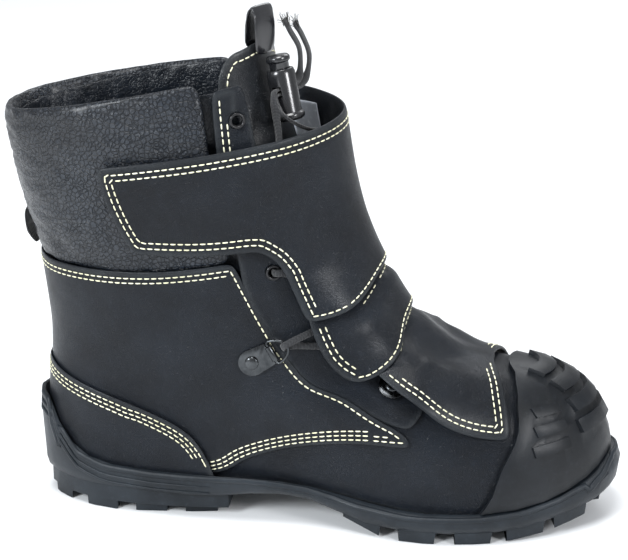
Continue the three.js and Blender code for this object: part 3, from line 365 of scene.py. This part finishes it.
fibreBoard = moulded("fibreBoard", rgb(0.25, 0.2, 0.14), rgb(0.36, 0.3, 0.21), 0.9, 0.0002, grain=500.0)
threadYellow = moulded("threadYellow", rgb(0.62, 0.6, 0.40), rgb(0.82, 0.8, 0.6), 0.7, 0.0002, grain=2200.0)
print("materials ready")

# making pieces from the frame's nodes
# a line through the middle of the leg and foot, from which outward is told
spine = [Vector(p) for p in ((-0.092, 0, 0.30), (-0.075, 0, 0.09), (0.1, 0, 0.042))]
rimStep = 0.8 * mm
sameSpot = 3e-6


def pickOnly(piece):
    bpy.ops.object.select_all(action="DESELECT")
    piece.select_set(True)
    bpy.context.view_layer.objects.active = piece


def applyModifier(piece, kind, **settings):
    pickOnly(piece)
    modifier = piece.modifiers.new(kind.title(), kind)
    for key, value in settings.items():
        setattr(modifier, key, value)
    bpy.ops.object.modifier_apply(modifier=modifier.name)


def outwardAt(p):
    best = None
    for a, b in zip(spine, spine[1:]):
        t = max(0, min(1, (p - a).dot(b - a) / (b - a).length_squared))
        q = a + (b - a) * t
        if best is None or (p - q).length < (p - best).length:
            best = q
    return (p - best).normalized()


def copyNode(node, name):
    piece = bpy.data.objects.new(name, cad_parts[node].data.copy())
    scene.collection.objects.link(piece)
    piece.data.materials.clear()
    pickOnly(piece)
    bpy.ops.object.mode_set(mode="EDIT")
    bpy.ops.mesh.select_all(action="SELECT")
    bpy.ops.mesh.remove_doubles(threshold=sameSpot)
    bpy.ops.mesh.tris_convert_to_quads(face_threshold=math.radians(45), shape_threshold=math.radians(70))
    bpy.ops.mesh.customdata_custom_splitnormals_clear()
    bpy.ops.object.mode_set(mode="OBJECT")
    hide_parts(node)
    return piece


def creaseSharp(piece, angle, amount, rim=False):
    # marks the sharp edges, and on a panel its outer rim and the rim under it
    work = bmesh.new()
    work.from_mesh(piece.data)
    crease = work.edges.layers.float.get("crease_edge") or work.edges.layers.float.new("crease_edge")
    sharp = [e for e in work.edges if len(e.link_faces) == 2 and e.calc_face_angle(0) > angle]
    corners = set()
    for edge in sharp:
        edge[crease] = amount
        corners.update(edge.verts)
    outer, under = [], []
    for vertex in corners if rim else ():
        partners = [e.other_vert(vertex) for e in vertex.link_edges]
        partner = min((v for v in partners if v in corners), key=lambda v: (v.co - vertex.co).length)
        isOuter = (vertex.co - partner.co).dot(outwardAt(vertex.co)) > 0
        (outer if isOuter else under).append(vertex.index)
    work.to_mesh(piece.data)
    work.free()
    if rim:
        piece.vertex_groups.new(name="rim").add(outer, 1.0, "REPLACE")
        piece.vertex_groups.new(name="under").add(under, 1.0, "REPLACE")


def groupWeights(piece, name):
    index = piece.vertex_groups[name].index
    weights = [0.0] * len(piece.data.vertices)
    for vertex in piece.data.vertices:
        for entry in vertex.groups:
            if entry.group == index:
                weights[vertex.index] = entry.weight
    return weights


def lineLength(co, line):
    return sum((co[a] - co[b]).length for a, b in zip(line, line[1:]))


def rimLoop(piece):
    # the longest line of rim vertices, and the way into the panel at each
    rim, under = groupWeights(piece, "rim"), groupWeights(piece, "under")
    work = bmesh.new()
    work.from_mesh(piece.data)
    work.verts.ensure_lookup_table()
    links = {}
    for edge in work.edges:
        a, b = (v.index for v in edge.verts)
        if rim[a] > 0.995 and rim[b] > 0.995:
            links.setdefault(a, []).append(b)
            links.setdefault(b, []).append(a)
    lines, seen = [], set()
    for start in sorted(links):
        if start in seen:
            continue
        seen.add(start)
        line = [start]
        for end in (-1, 0):
            while True:
                following = [n for n in links[line[end]] if n not in seen]
                if not following:
                    break
                seen.add(following[0])
                line.insert(len(line) if end else 0, following[0])
        lines.append(line)
    co = [v.co.copy() for v in work.verts]
    lines.sort(key=lambda line: lineLength(co, line), reverse=True)
    longest = lines[0]
    # short breaks in the rim are closed by the nearest other stretch
    for line in lines[1:]:
        for piecewise in (line, line[::-1]):
            if lineLength(co, line) > 12 * mm and (co[longest[-1]] - co[piecewise[0]]).length < 14 * mm:
                longest = longest + piecewise
                break
    points, inward = [], []
    for index in longest:
        vertex = work.verts[index]
        faces = [f for f in vertex.link_faces if max(under[v.index] for v in f.verts) < 0.001]
        faces = faces or list(vertex.link_faces)
        points.append(co[index])
        inward.append(sum((f.calc_center_median() for f in faces), Vector()) / len(faces) - co[index])
    work.free()
    count = len(points)
    for k in range(count):
        along = (points[(k + 2) % count] - points[k - 2]).normalized()
        inward[k] = (inward[k] - along * inward[k].dot(along)).normalized()
    return points, inward


def resample(points, step, extra=None):
    lengths = [0.0]
    for a, b in zip(points, points[1:]):
        lengths.append(lengths[-1] + (b - a).length)
    count = max(1, int(lengths[-1] / step))
    marks = [lengths[-1] * (k + 0.5) / count for k in range(count)]
    out, other, i = [], [], 0
    for mark in marks:
        while i < len(lengths) - 2 and lengths[i + 1] < mark:
            i += 1
        t = (mark - lengths[i]) / max(1e-9, lengths[i + 1] - lengths[i])
        out.append(points[i].lerp(points[i + 1], t))
        if extra:
            other.append(extra[i].lerp(extra[i + 1], t))
    return (out, other) if extra else out


def markEdge(piece, points, reach=2.2):
    tree = KDTree(len(points))
    for i, p in enumerate(points):
        tree.insert(p, i)
    tree.balance()
    near = piece.data.attributes.new("edgeNear", "FLOAT", "POINT")
    values = [max(0.0, 1 - tree.find(v.co)[2] / (reach * mm)) for v in piece.data.vertices]
    near.data.foreach_set("value", values)


def undulate(piece, amount, scale, seed=0.0):
    # slow swell of the leather, the same field on every panel so that laps stay closed
    mesh = piece.data
    for vertex in mesh.vertices:
        outward = outwardAt(vertex.co)
        slow = noise.noise(vertex.co * scale + Vector((seed, 0, 0)))
        swell = slow + 0.5 * noise.noise(vertex.co * scale * 2.3)
        vertex.co += outward * swell * amount * mm
    mesh.update()


stitch = {"length": 2.9, "wide": 0.78, "proud": 0.5, "pitch": 3.7, "dip": 0.22, "lift": 0.2}


def stitchShape():
    rings = [(-1.0, 0.25), (-0.72, 0.9), (0.0, 1.0), (0.72, 0.9), (1.0, 0.25)]
    corners = 6
    points, faces = [], []
    for along, size in rings:
        for k in range(corners):
            a = 2 * math.pi * k / corners
            dip = stitch["dip"] * along * along
            points.append(Vector((along * stitch["length"] / 2, math.cos(a) * size * stitch["wide"] / 2,
                                  math.sin(a) * size * stitch["proud"] / 2 - dip)) * mm)
    for r in range(len(rings) - 1):
        for k in range(corners):
            m = (k + 1) % corners
            faces.append((r * corners + k, (r + 1) * corners + k, (r + 1) * corners + m, r * corners + m))
    last = (len(rings) - 1) * corners
    faces += [tuple(range(corners)), tuple(last + k for k in reversed(range(corners)))]
    return points, faces


def meshPiece(name, points, faces, material, body):
    mesh = bpy.data.meshes.new(name)
    mesh.from_pydata([tuple(p) for p in points], [], faces)
    mesh.update()
    piece = bpy.data.objects.new(name, mesh)
    scene.collection.objects.link(piece)
    mesh.materials.append(material)
    pickOnly(piece)
    bpy.ops.object.mode_set(mode="EDIT")
    bpy.ops.mesh.select_all(action="SELECT")
    bpy.ops.mesh.normals_make_consistent(inside=False)
    bpy.ops.object.mode_set(mode="OBJECT")
    bpy.ops.object.shade_smooth()
    if body:
        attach(piece, body)
    return piece


def surfaceOf(piece):
    mesh = piece.data
    return BVHTree.FromPolygons([v.co for v in mesh.vertices], [tuple(p.vertices) for p in mesh.polygons])


nodeSurfaces = {}


def nodeSurface(node):
    if node not in nodeSurfaces:
        nodeSurfaces[node] = surfaceOf(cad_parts[node])
    return nodeSurfaces[node]


def gapTo(point, node):
    return nodeSurface(node).find_nearest(point)[3] / mm


def sewRows(name, panel, rows, keep, body):
    # rows of stitches beside the rim, at the given distances in millimetres
    rim, ways = panel["points"], panel["inward"]
    points, inward = resample(rim + rim[:1], rimStep, ways + ways[:1])
    tree = KDTree(len(points))
    for i, p in enumerate(points):
        tree.insert(p, i)
    tree.balance()
    kept = [keep(p) for p in points]
    start = kept.index(False) if False in kept else 0
    order = [(start + k) % len(points) for k in range(len(points))]
    shape, shapeFaces = stitchShape()
    verts, faces = [], []
    for distance in rows:
        chains, chain = [], []
        for i in order:
            place = points[i] + inward[i] * distance * mm
            hit = panel["surface"].find_nearest(place)
            good = kept[i] and tree.find(hit[0])[2] > (distance - 0.4) * mm
            if chain and (hit[0] - chain[-1]).length > 5 * mm:
                chains.append(chain)
                chain = []
            if good:
                chain.append(hit[0])
            elif not kept[i] and chain:
                chains.append(chain)
                chain = []
        chains.append(chain)
        for chain in chains:
            if len(chain) < 5:
                continue
            marks = resample(chain, stitch["pitch"] * mm)
            for k, mark in enumerate(marks):
                before, after = marks[max(0, k - 1)], marks[min(len(marks) - 1, k + 1)]
                where, normal = panel["surface"].find_nearest(mark)[:2]
                along = after - before
                along = (along - normal * along.dot(normal)).normalized()
                turn = Matrix((along, normal.cross(along), normal)).transposed()
                first = len(verts)
                verts += [where + normal * stitch["lift"] * mm + turn @ p for p in shape]
                faces += [tuple(first + j for j in f) for f in shapeFaces]
    return meshPiece(name, verts, faces, threadYellow, body)


def tuck(piece, neighbours, reach, out, down):
    # the rim beside a neighbour goes on under it
    rim, under = groupWeights(piece, "rim"), groupWeights(piece, "under")
    for i, vertex in enumerate(piece.data.vertices):
        if rim[i] + under[i] < 0.5:
            continue
        for node in neighbours:
            hit = nodeSurface(node).find_nearest(vertex.co)
            if hit[3] < reach * mm:
                outward = outwardAt(vertex.co)
                way = hit[0] - vertex.co
                way = (way - outward * way.dot(outward)).normalized()
                vertex.co += way * out * mm - outward * down * mm
                break


def leatherPanel(node, body, material=None, levels=2, swell=0.35, under=(), lap=(7.5, 9.0, 2.3)):
    piece = copyNode(node, node + "_leather")
    creaseSharp(piece, math.radians(50), 0.22, rim=True)
    if under:
        tuck(piece, under, *lap)
    applyModifier(piece, "SUBSURF", levels=levels, render_levels=levels)
    points, inward = rimLoop(piece)
    surface = surfaceOf(piece)
    markEdge(piece, resample(points + points[:1], rimStep))
    if swell:
        undulate(piece, swell, 22)
    bpy.ops.object.shade_smooth_by_angle(angle=math.radians(45))
    piece.data.materials.append(material or smoothHide)
    if body:
        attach(piece, body)
    if swell:
        surface = surfaceOf(piece)
    return {"piece": piece, "points": points, "inward": inward, "surface": surface}


def softPiece(node, body, material, levels=2, crease=0.2, angle=50):
    piece = copyNode(node, node + "_made")
    creaseSharp(piece, math.radians(angle), crease)
    applyModifier(piece, "SUBSURF", levels=levels, render_levels=levels)
    bpy.ops.object.shade_smooth_by_angle(angle=math.radians(45))
    piece.data.materials.append(material)
    if body:
        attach(piece, body)
    return piece


def edgedPiece(node, body, material, width, angle, smooth=40):
    # a hard piece with its sharp edges rounded
    piece = copyNode(node, node + "_made")
    applyModifier(piece, "BEVEL", width=width * mm, segments=2, limit_method="ANGLE",
                  angle_limit=math.radians(angle))
    bpy.ops.object.shade_smooth_by_angle(angle=math.radians(smooth))
    piece.data.materials.append(material)
    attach(piece, body)


# the upper's leather panels
upper = {}
upper["vamp"] = leatherPanel("vamp", "boot", levels=3)
for side in sides:
    upper["quarter_" + side] = leatherPanel("quarter_" + side, "boot", levels=3)
    upper["facing_" + side] = leatherPanel("facing_" + side, "boot", under=("quarter_" + side,),
                                           lap=(2.4, 3.6, 1.9))
upper["heel_cover"] = leatherPanel("heel_cover", "boot", levels=2)
upper["flap_upper"] = leatherPanel("flap_upper", None, levels=3)
upper["flap_gusset"] = leatherPanel("flap_gusset", None, levels=3, under=("flap_upper",))
upper["flap_lower"] = leatherPanel("flap_lower", None, levels=3, under=("flap_gusset",))
upper["tongue"] = leatherPanel("tongue", "boot", tongueHide, levels=2, swell=0,
                               under=("facing_lateral", "facing_medial"), lap=(14.0, 9.0, 1.0))
print("leather panels ready")

sewRows("flap_upper_seam", upper["flap_upper"], (1.9,), lambda p: gapTo(p, "flap_gusset") < 3.6, "flap")
sewRows("flap_upper_edge", upper["flap_upper"], (2.9, 5.9), lambda p: gapTo(p, "flap_gusset") > 3.6, "flap")
sewn = [
    sewRows("flap_gusset_seam", upper["flap_gusset"], (1.9,), lambda p: gapTo(p, "flap_lower") < 2.6, None),
    sewRows("flap_lower_edge", upper["flap_lower"], (2.9, 5.9),
            lambda p: gapTo(p, "flap_gusset") > 2.6, None),
    sewRows("flap_gusset_edge", upper["flap_gusset"], (2.9, 5.9),
            lambda p: gapTo(p, "flap_upper") > 4.5 and gapTo(p, "flap_lower") > 2.6, None)]
for side in sides:
    sewRows("quarter_collar_" + side, upper["quarter_" + side], (2.0, 4.6),
            lambda p: gapTo(p, "collar_pad") < 3 and p.z > 0.1, "boot")
    sewRows("quarter_vamp_" + side, upper["quarter_" + side], (2.0, 4.4, 6.8),
            lambda p, side=side: gapTo(p, "vamp") < 2.5 and gapTo(p, "facing_" + side) > 5, "boot")
    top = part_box("facing_" + side)[1].z
    sewRows("facing_top_" + side, upper["facing_" + side], (3.0, 6.0),
            lambda p, top=top: p.z > 0.185 and (gapTo(p, "collar_pad") < 8 or p.z > top - 4 * mm), "boot")
    sewRows("quarter_front_" + side, upper["quarter_" + side], (1.8,),
            lambda p, side=side: p.z < 0.146 and gapTo(p, "facing_" + side) < 5, "boot")
sewRows("heel_cover_edge", upper["heel_cover"], (1.8, 4.2, 6.6), lambda p: gapTo(p, "outsole") > 5, "boot")
sewRows("tongue_edge", upper["tongue"], (4.0,), lambda p: p.z > 0.15, "boot")
print("stitching ready")

# collar, linings and padding
collar = {"levels": 3, "folds": 0.8, "swell": 0.7, "lap": (3.2, 3.4, 1.0)}


def wrinkle(piece, amount, across, along, seed):
    # folds that run round the boot, closer together than they are long
    mesh = piece.data
    for vertex in mesh.vertices:
        outward = outwardAt(vertex.co)
        p = Vector((vertex.co.x * along, vertex.co.y * along, vertex.co.z * across + seed))
        fold = 1 - abs(noise.noise(p + noise.noise_vector(vertex.co * 40) * 0.5)) * 2
        vertex.co += outward * (fold - 0.6) * amount * mm
    mesh.update()


def makeCollar():
    piece = copyNode("collar_pad", "collar_cushion")
    creaseSharp(piece, math.radians(50), 0.1, rim=True)
    tuck(piece, ("quarter_lateral", "quarter_medial"), *collar["lap"])
    applyModifier(piece, "SUBSURF", levels=collar["levels"], render_levels=collar["levels"])
    bpy.ops.object.shade_smooth_by_angle(angle=math.radians(45))
    piece.data.materials.append(grainedHide)
    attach(piece, "boot")
    undulate(piece, collar["swell"], 30, 4)
    wrinkle(piece, collar["folds"], 210, 60, 3)


makeCollar()
lining = softPiece("shaft_lining", "boot", glossLining, levels=3)
wrinkle(lining, 0.9, 40, 110, 8)
softPiece("vamp_lining", "boot", liningKnit)
for node, material in (("ankle_padding", foamBlock), ("sockliner", liningKnit), ("midsole", foamBlock)):
    softPiece(node, "boot", material)
for node, material in (("heel_stiffener", fibreBoard), ("insole_board", fibreBoard),
                       ("toe_protector", springSteel), ("shank", springSteel),
                       ("penetration_plate", springSteel)):
    softPiece(node, "boot", material, levels=1, crease=0.6)
for node, body, material in (("loop_tape", "boot", fastener), ("hook_tape", "flap", fastener),
                             ("flap_patch", "flap", patchCloth)):
    softPiece(node, body, material, levels=2, crease=0.5)
print("collar and linings ready")

# sole
# the rim's height along the boot, in millimetres
sole = {
    "rim": [(-155, 60), (-141, 57), (-136, 45), (-126, 33), (-111, 27.5), (-84, 26), (-31, 26.5), (-3, 24),
            (24, 19), (55, 16.5), (90, 16.5), (112, 18.5), (132, 23), (148, 30), (156, 37), (165, 38)],
    "beadDrop": 1.6,
    "beadWide": 3.4,
    "beadHigh": 1.1,
    "ridges": (6.5, 10.5),
    "ridgeWide": 2.4,
    "ridgeHigh": 0.9,
    "ridgeEnd": -50}


def soleHeight(x, line):
    for (x0, z0), (x1, z1) in zip(line, line[1:]):
        if x <= x1 or (x1, z1) == line[-1]:
            t = max(0, min(1, (x - x0) / (x1 - x0)))
            return z0 + (z1 - z0) * t
    return line[-1][1]


def aroundSole(line, drop, count=220):
    # points on the sole's side wall, at a height that follows a line in x
    wall = nodeSurface("outsole")
    points = []
    for k in range(count):
        a = 2 * math.pi * k / count
        start = Vector((0.26 * math.cos(a), 0.16 * math.sin(a), 0))
        aim = Vector((max(-0.115, min(0.11, start.x * 0.85)), 0.0, 0))
        hit = None
        x = start.x * 0.6
        for _ in range(3):
            z = (soleHeight(x / mm, line) - drop) * mm
            found = wall.ray_cast(Vector((start.x, start.y, z)), (aim - start).normalized())
            if found[0]:
                hit, x = found, found[0].x
        if hit:
            points.append((hit[0], hit[1]))
    return points


def sweepTrim(name, places, wide, high, material, body, closed=True, taper=None):
    # a half-round strip along points that lie on a surface
    corners = 8
    verts, faces = [], []
    count = len(places)
    for i, (p, normal) in enumerate(places):
        before = places[i - 1][0] if closed or i else places[0][0]
        after = places[(i + 1) % count][0] if closed or i < count - 1 else places[-1][0]
        along = (after - before).normalized()
        flat = (normal - along * normal.dot(along)).normalized()
        across = along.cross(flat)
        size = taper(i / (count - 1)) if taper else 1.0
        for k in range(corners):
            a = 2 * math.pi * k / corners
            verts.append(p + across * math.cos(a) * wide * 0.5 * mm * size
                         + flat * math.sin(a) * high * mm * size)
    for i in range(count if closed else count - 1):
        for k in range(corners):
            m = (k + 1) % corners
            j = (i + 1) % count
            faces.append((i * corners + k, j * corners + k, j * corners + m, i * corners + m))
    if not closed:
        faces += [tuple(range(corners)), tuple((count - 1) * corners + k for k in reversed(range(corners)))]
    return meshPiece(name, verts, faces, material, body)


def thinEnds(t):
    return 0.3 + 0.7 * math.sin(math.pi * t) ** 0.3


edgedPiece("outsole", "boot", soleRubber, 0.5, 38)
bead = aroundSole(sole["rim"], sole["beadDrop"])
sweepTrim("sole_rim_bead", bead, sole["beadWide"], sole["beadHigh"], soleRubber, "boot")
for k, drop in enumerate(sole["ridges"]):
    ridge = aroundSole(sole["rim"], drop)
    first = next(i for i, (p, n) in enumerate(ridge) if p.x < sole["ridgeEnd"] * mm)
    heelPart = [place for place in ridge[first:] if place[0].x < sole["ridgeEnd"] * mm]
    sweepTrim(f"heel_ridge_{k + 1}", heelPart, sole["ridgeWide"], sole["ridgeHigh"], soleRubber, "boot",
              closed=False, taper=thinEnds)
edgedPiece("toe_guard", "boot", guardRubber, 0.45, 35, smooth=38)
print("rubber ready")

# hooks, rings and eyelets
for part in ("ankle", "instep"):
    for side in sides:
        name = part + "_" + side
        edgedPiece("hook_plate_" + name, "boot", gunmetal, 0.3, 40)
        softPiece("hook_rivet_" + name, "boot", gunmetal, levels=2, crease=0.12, angle=35)
        softPiece("d_ring_" + name, "ring_" + name, gunmetal, levels=2, crease=0.0, angle=89)
for k in (1, 2, 3):
    for side in sides:
        softPiece(f"eyelet_{k}_{side}", "boot", blackRing, levels=2, crease=0.15, angle=35)
edgedPiece("cord_lock_barrel", "boot", lockPlastic, 0.3, 35)
edgedPiece("cord_lock_plunger", "lock_plunger", lockPlastic, 0.3, 35)

# the spring stands on the barrel's floor; it rides no body, and its place is baked into its mesh
spring = softPiece("cord_lock_spring", None, springSteel, levels=1, crease=0.0, angle=89)
springLow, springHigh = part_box("cord_lock_spring")
springFoot = (springLow + springHigh) / 2
springFoot.z = springLow.z
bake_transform(spring)
softPiece("tongue_pull_tab", "boot", tabGloss, levels=2, crease=0.3)
softPiece("rear_pull_loop", "boot", laceWeave, levels=2, crease=0.3)
softPiece("lace", "boot", laceWeave, levels=1, crease=0.0, angle=89)
print("fittings ready")

# the lace's two free ends
tail = {
    "wide": 4.4,
    "thick": 1.9,
    "steps": 60,
    "lockWay": Vector((-0.2, 0.06, 0.98)),
    "face": Vector((0.9, -0.3, 0.3)),
    "a": [(-11.3, -2.3, 230.1), (-10.1, 1.0, 231.0), (-8.9, 4.0, 236), (-9.4, 4.5, 247), (-13.9, 3.5, 256),
          (-16.4, 1.5, 262)],
    "b": [(-10.9, -2.4, 227.8), (-9.0, 1.7, 228.1), (-5.9, 7.5, 233), (-4.9, 9.0, 243), (-8.4, 10.0, 252),
          (-12.4, 9.5, 259)]}


def smoothRoute(stops, count):
    # a curve through the stops, even in length
    pts = [Vector(p) * mm for p in stops]
    pts = [pts[0] * 2 - pts[1]] + pts + [pts[-1] * 2 - pts[-2]]
    fine = []
    for i in range(1, len(pts) - 2):
        a, b, c, d = pts[i - 1:i + 3]
        for k in range(24):
            t = k / 24
            fine.append(0.5 * (2 * b + (c - a) * t + (2 * a - 5 * b + 4 * c - d) * t * t
                               + (3 * b - a - 3 * c + d) * t ** 3))
    fine.append(pts[-2])
    lengths = [0.0]
    for a, b in zip(fine, fine[1:]):
        lengths.append(lengths[-1] + (b - a).length)
    route, i = [], 0
    for k in range(count + 1):
        mark = lengths[-1] * k / count
        while i < len(fine) - 2 and lengths[i + 1] < mark:
            i += 1
        route.append(fine[i].lerp(fine[i + 1], (mark - lengths[i]) / (lengths[i + 1] - lengths[i])))
    return route, lengths[-1]


def makeTail(key):
    route, length = smoothRoute(tail[key], tail["steps"])
    corners = 12
    verts, faces, marks = [], [], []
    for i, p in enumerate(route):
        along = (route[min(i + 1, len(route) - 1)] - route[max(i - 1, 0)]).normalized()
        thin = tail["lockWay"].lerp(tail["face"], min(1, i / (len(route) * 0.45)))
        thin = (thin - along * thin.dot(along)).normalized()
        wide = along.cross(thin)
        rib = 1 + 0.07 * math.cos(i * math.pi)
        for k in range(corners):
            a = 2 * math.pi * k / corners
            verts.append(p + wide * math.cos(a) * tail["wide"] / 2 * mm
                         + thin * math.sin(a) * tail["thick"] / 2 * rib * mm)
            marks.append((k / corners * 2, i * 0.14))
    for i in range(len(route) - 1):
        for k in range(corners):
            m = (k + 1) % corners
            faces.append((i * corners + k, i * corners + m, (i + 1) * corners + m, (i + 1) * corners + k))
    last = (len(route) - 1) * corners
    faces += [tuple(reversed(range(corners))), tuple(last + k for k in range(corners))]
    piece = meshPiece("lace_tail_" + key + "_made", verts, faces, tailWeave, "boot")
    layer = piece.data.uv_layers.new(name="laceUv")
    for loop in piece.data.loops:
        layer.data[loop.index].uv = marks[loop.vertex_index]
    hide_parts("lace_tail_" + key)
    return route


def anyWay(reach):
    return Vector([random.uniform(-reach, reach) for _ in range(3)])


def fray(key, route):
    # loose threads at the cut end
    random.seed(7 if key == "a" else 11)
    verts, faces = [], []
    end, along = route[-1], (route[-1] - route[-3]).normalized()
    for _ in range(26):
        start = end - along * 2.5 * mm + anyWay(1.4) * mm
        way = (along + anyWay(0.55)).normalized()
        bend = anyWay(1) * 0.35
        size = random.uniform(0.09, 0.16) * mm
        first = len(verts)
        for s in range(5):
            p = start + (way + bend * s / 4).normalized() * s * random.uniform(1.0, 1.5) * mm
            for k in range(3):
                a = 2 * math.pi * k / 3
                verts.append(p + Vector((math.cos(a), math.sin(a) * 0.7, math.sin(a) * 0.7)) * size)
        for s in range(4):
            for k in range(3):
                m = (k + 1) % 3
                low, high = first + s * 3, first + (s + 1) * 3
                faces.append((low + k, high + k, high + m, low + m))
        faces += [(first, first + 1, first + 2), (first + 14, first + 13, first + 12)]
    meshPiece("frayed_end_" + key, verts, faces, frayFibre, "boot")


for key in ("a", "b"):
    fray(key, makeTail(key))
print("laces ready")

# the gusset and the lower panel stay sewn at the toe and ride no body; the upper panel rides the flap
upTheInstep = Vector((-0.8, 0, 0.6))
seamEnd = min(p.dot(upTheInstep) for p in upper["flap_upper"]["points"] if gapTo(p, "flap_gusset") < 3.6)
for piece in [upper["flap_gusset"]["piece"], upper["flap_lower"]["piece"]] + sewn:
    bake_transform(piece)
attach(upper["flap_upper"]["piece"], "flap")

addCamera()
addStudio()
scene.view_settings.view_transform = "Standard"
print("scene ready")
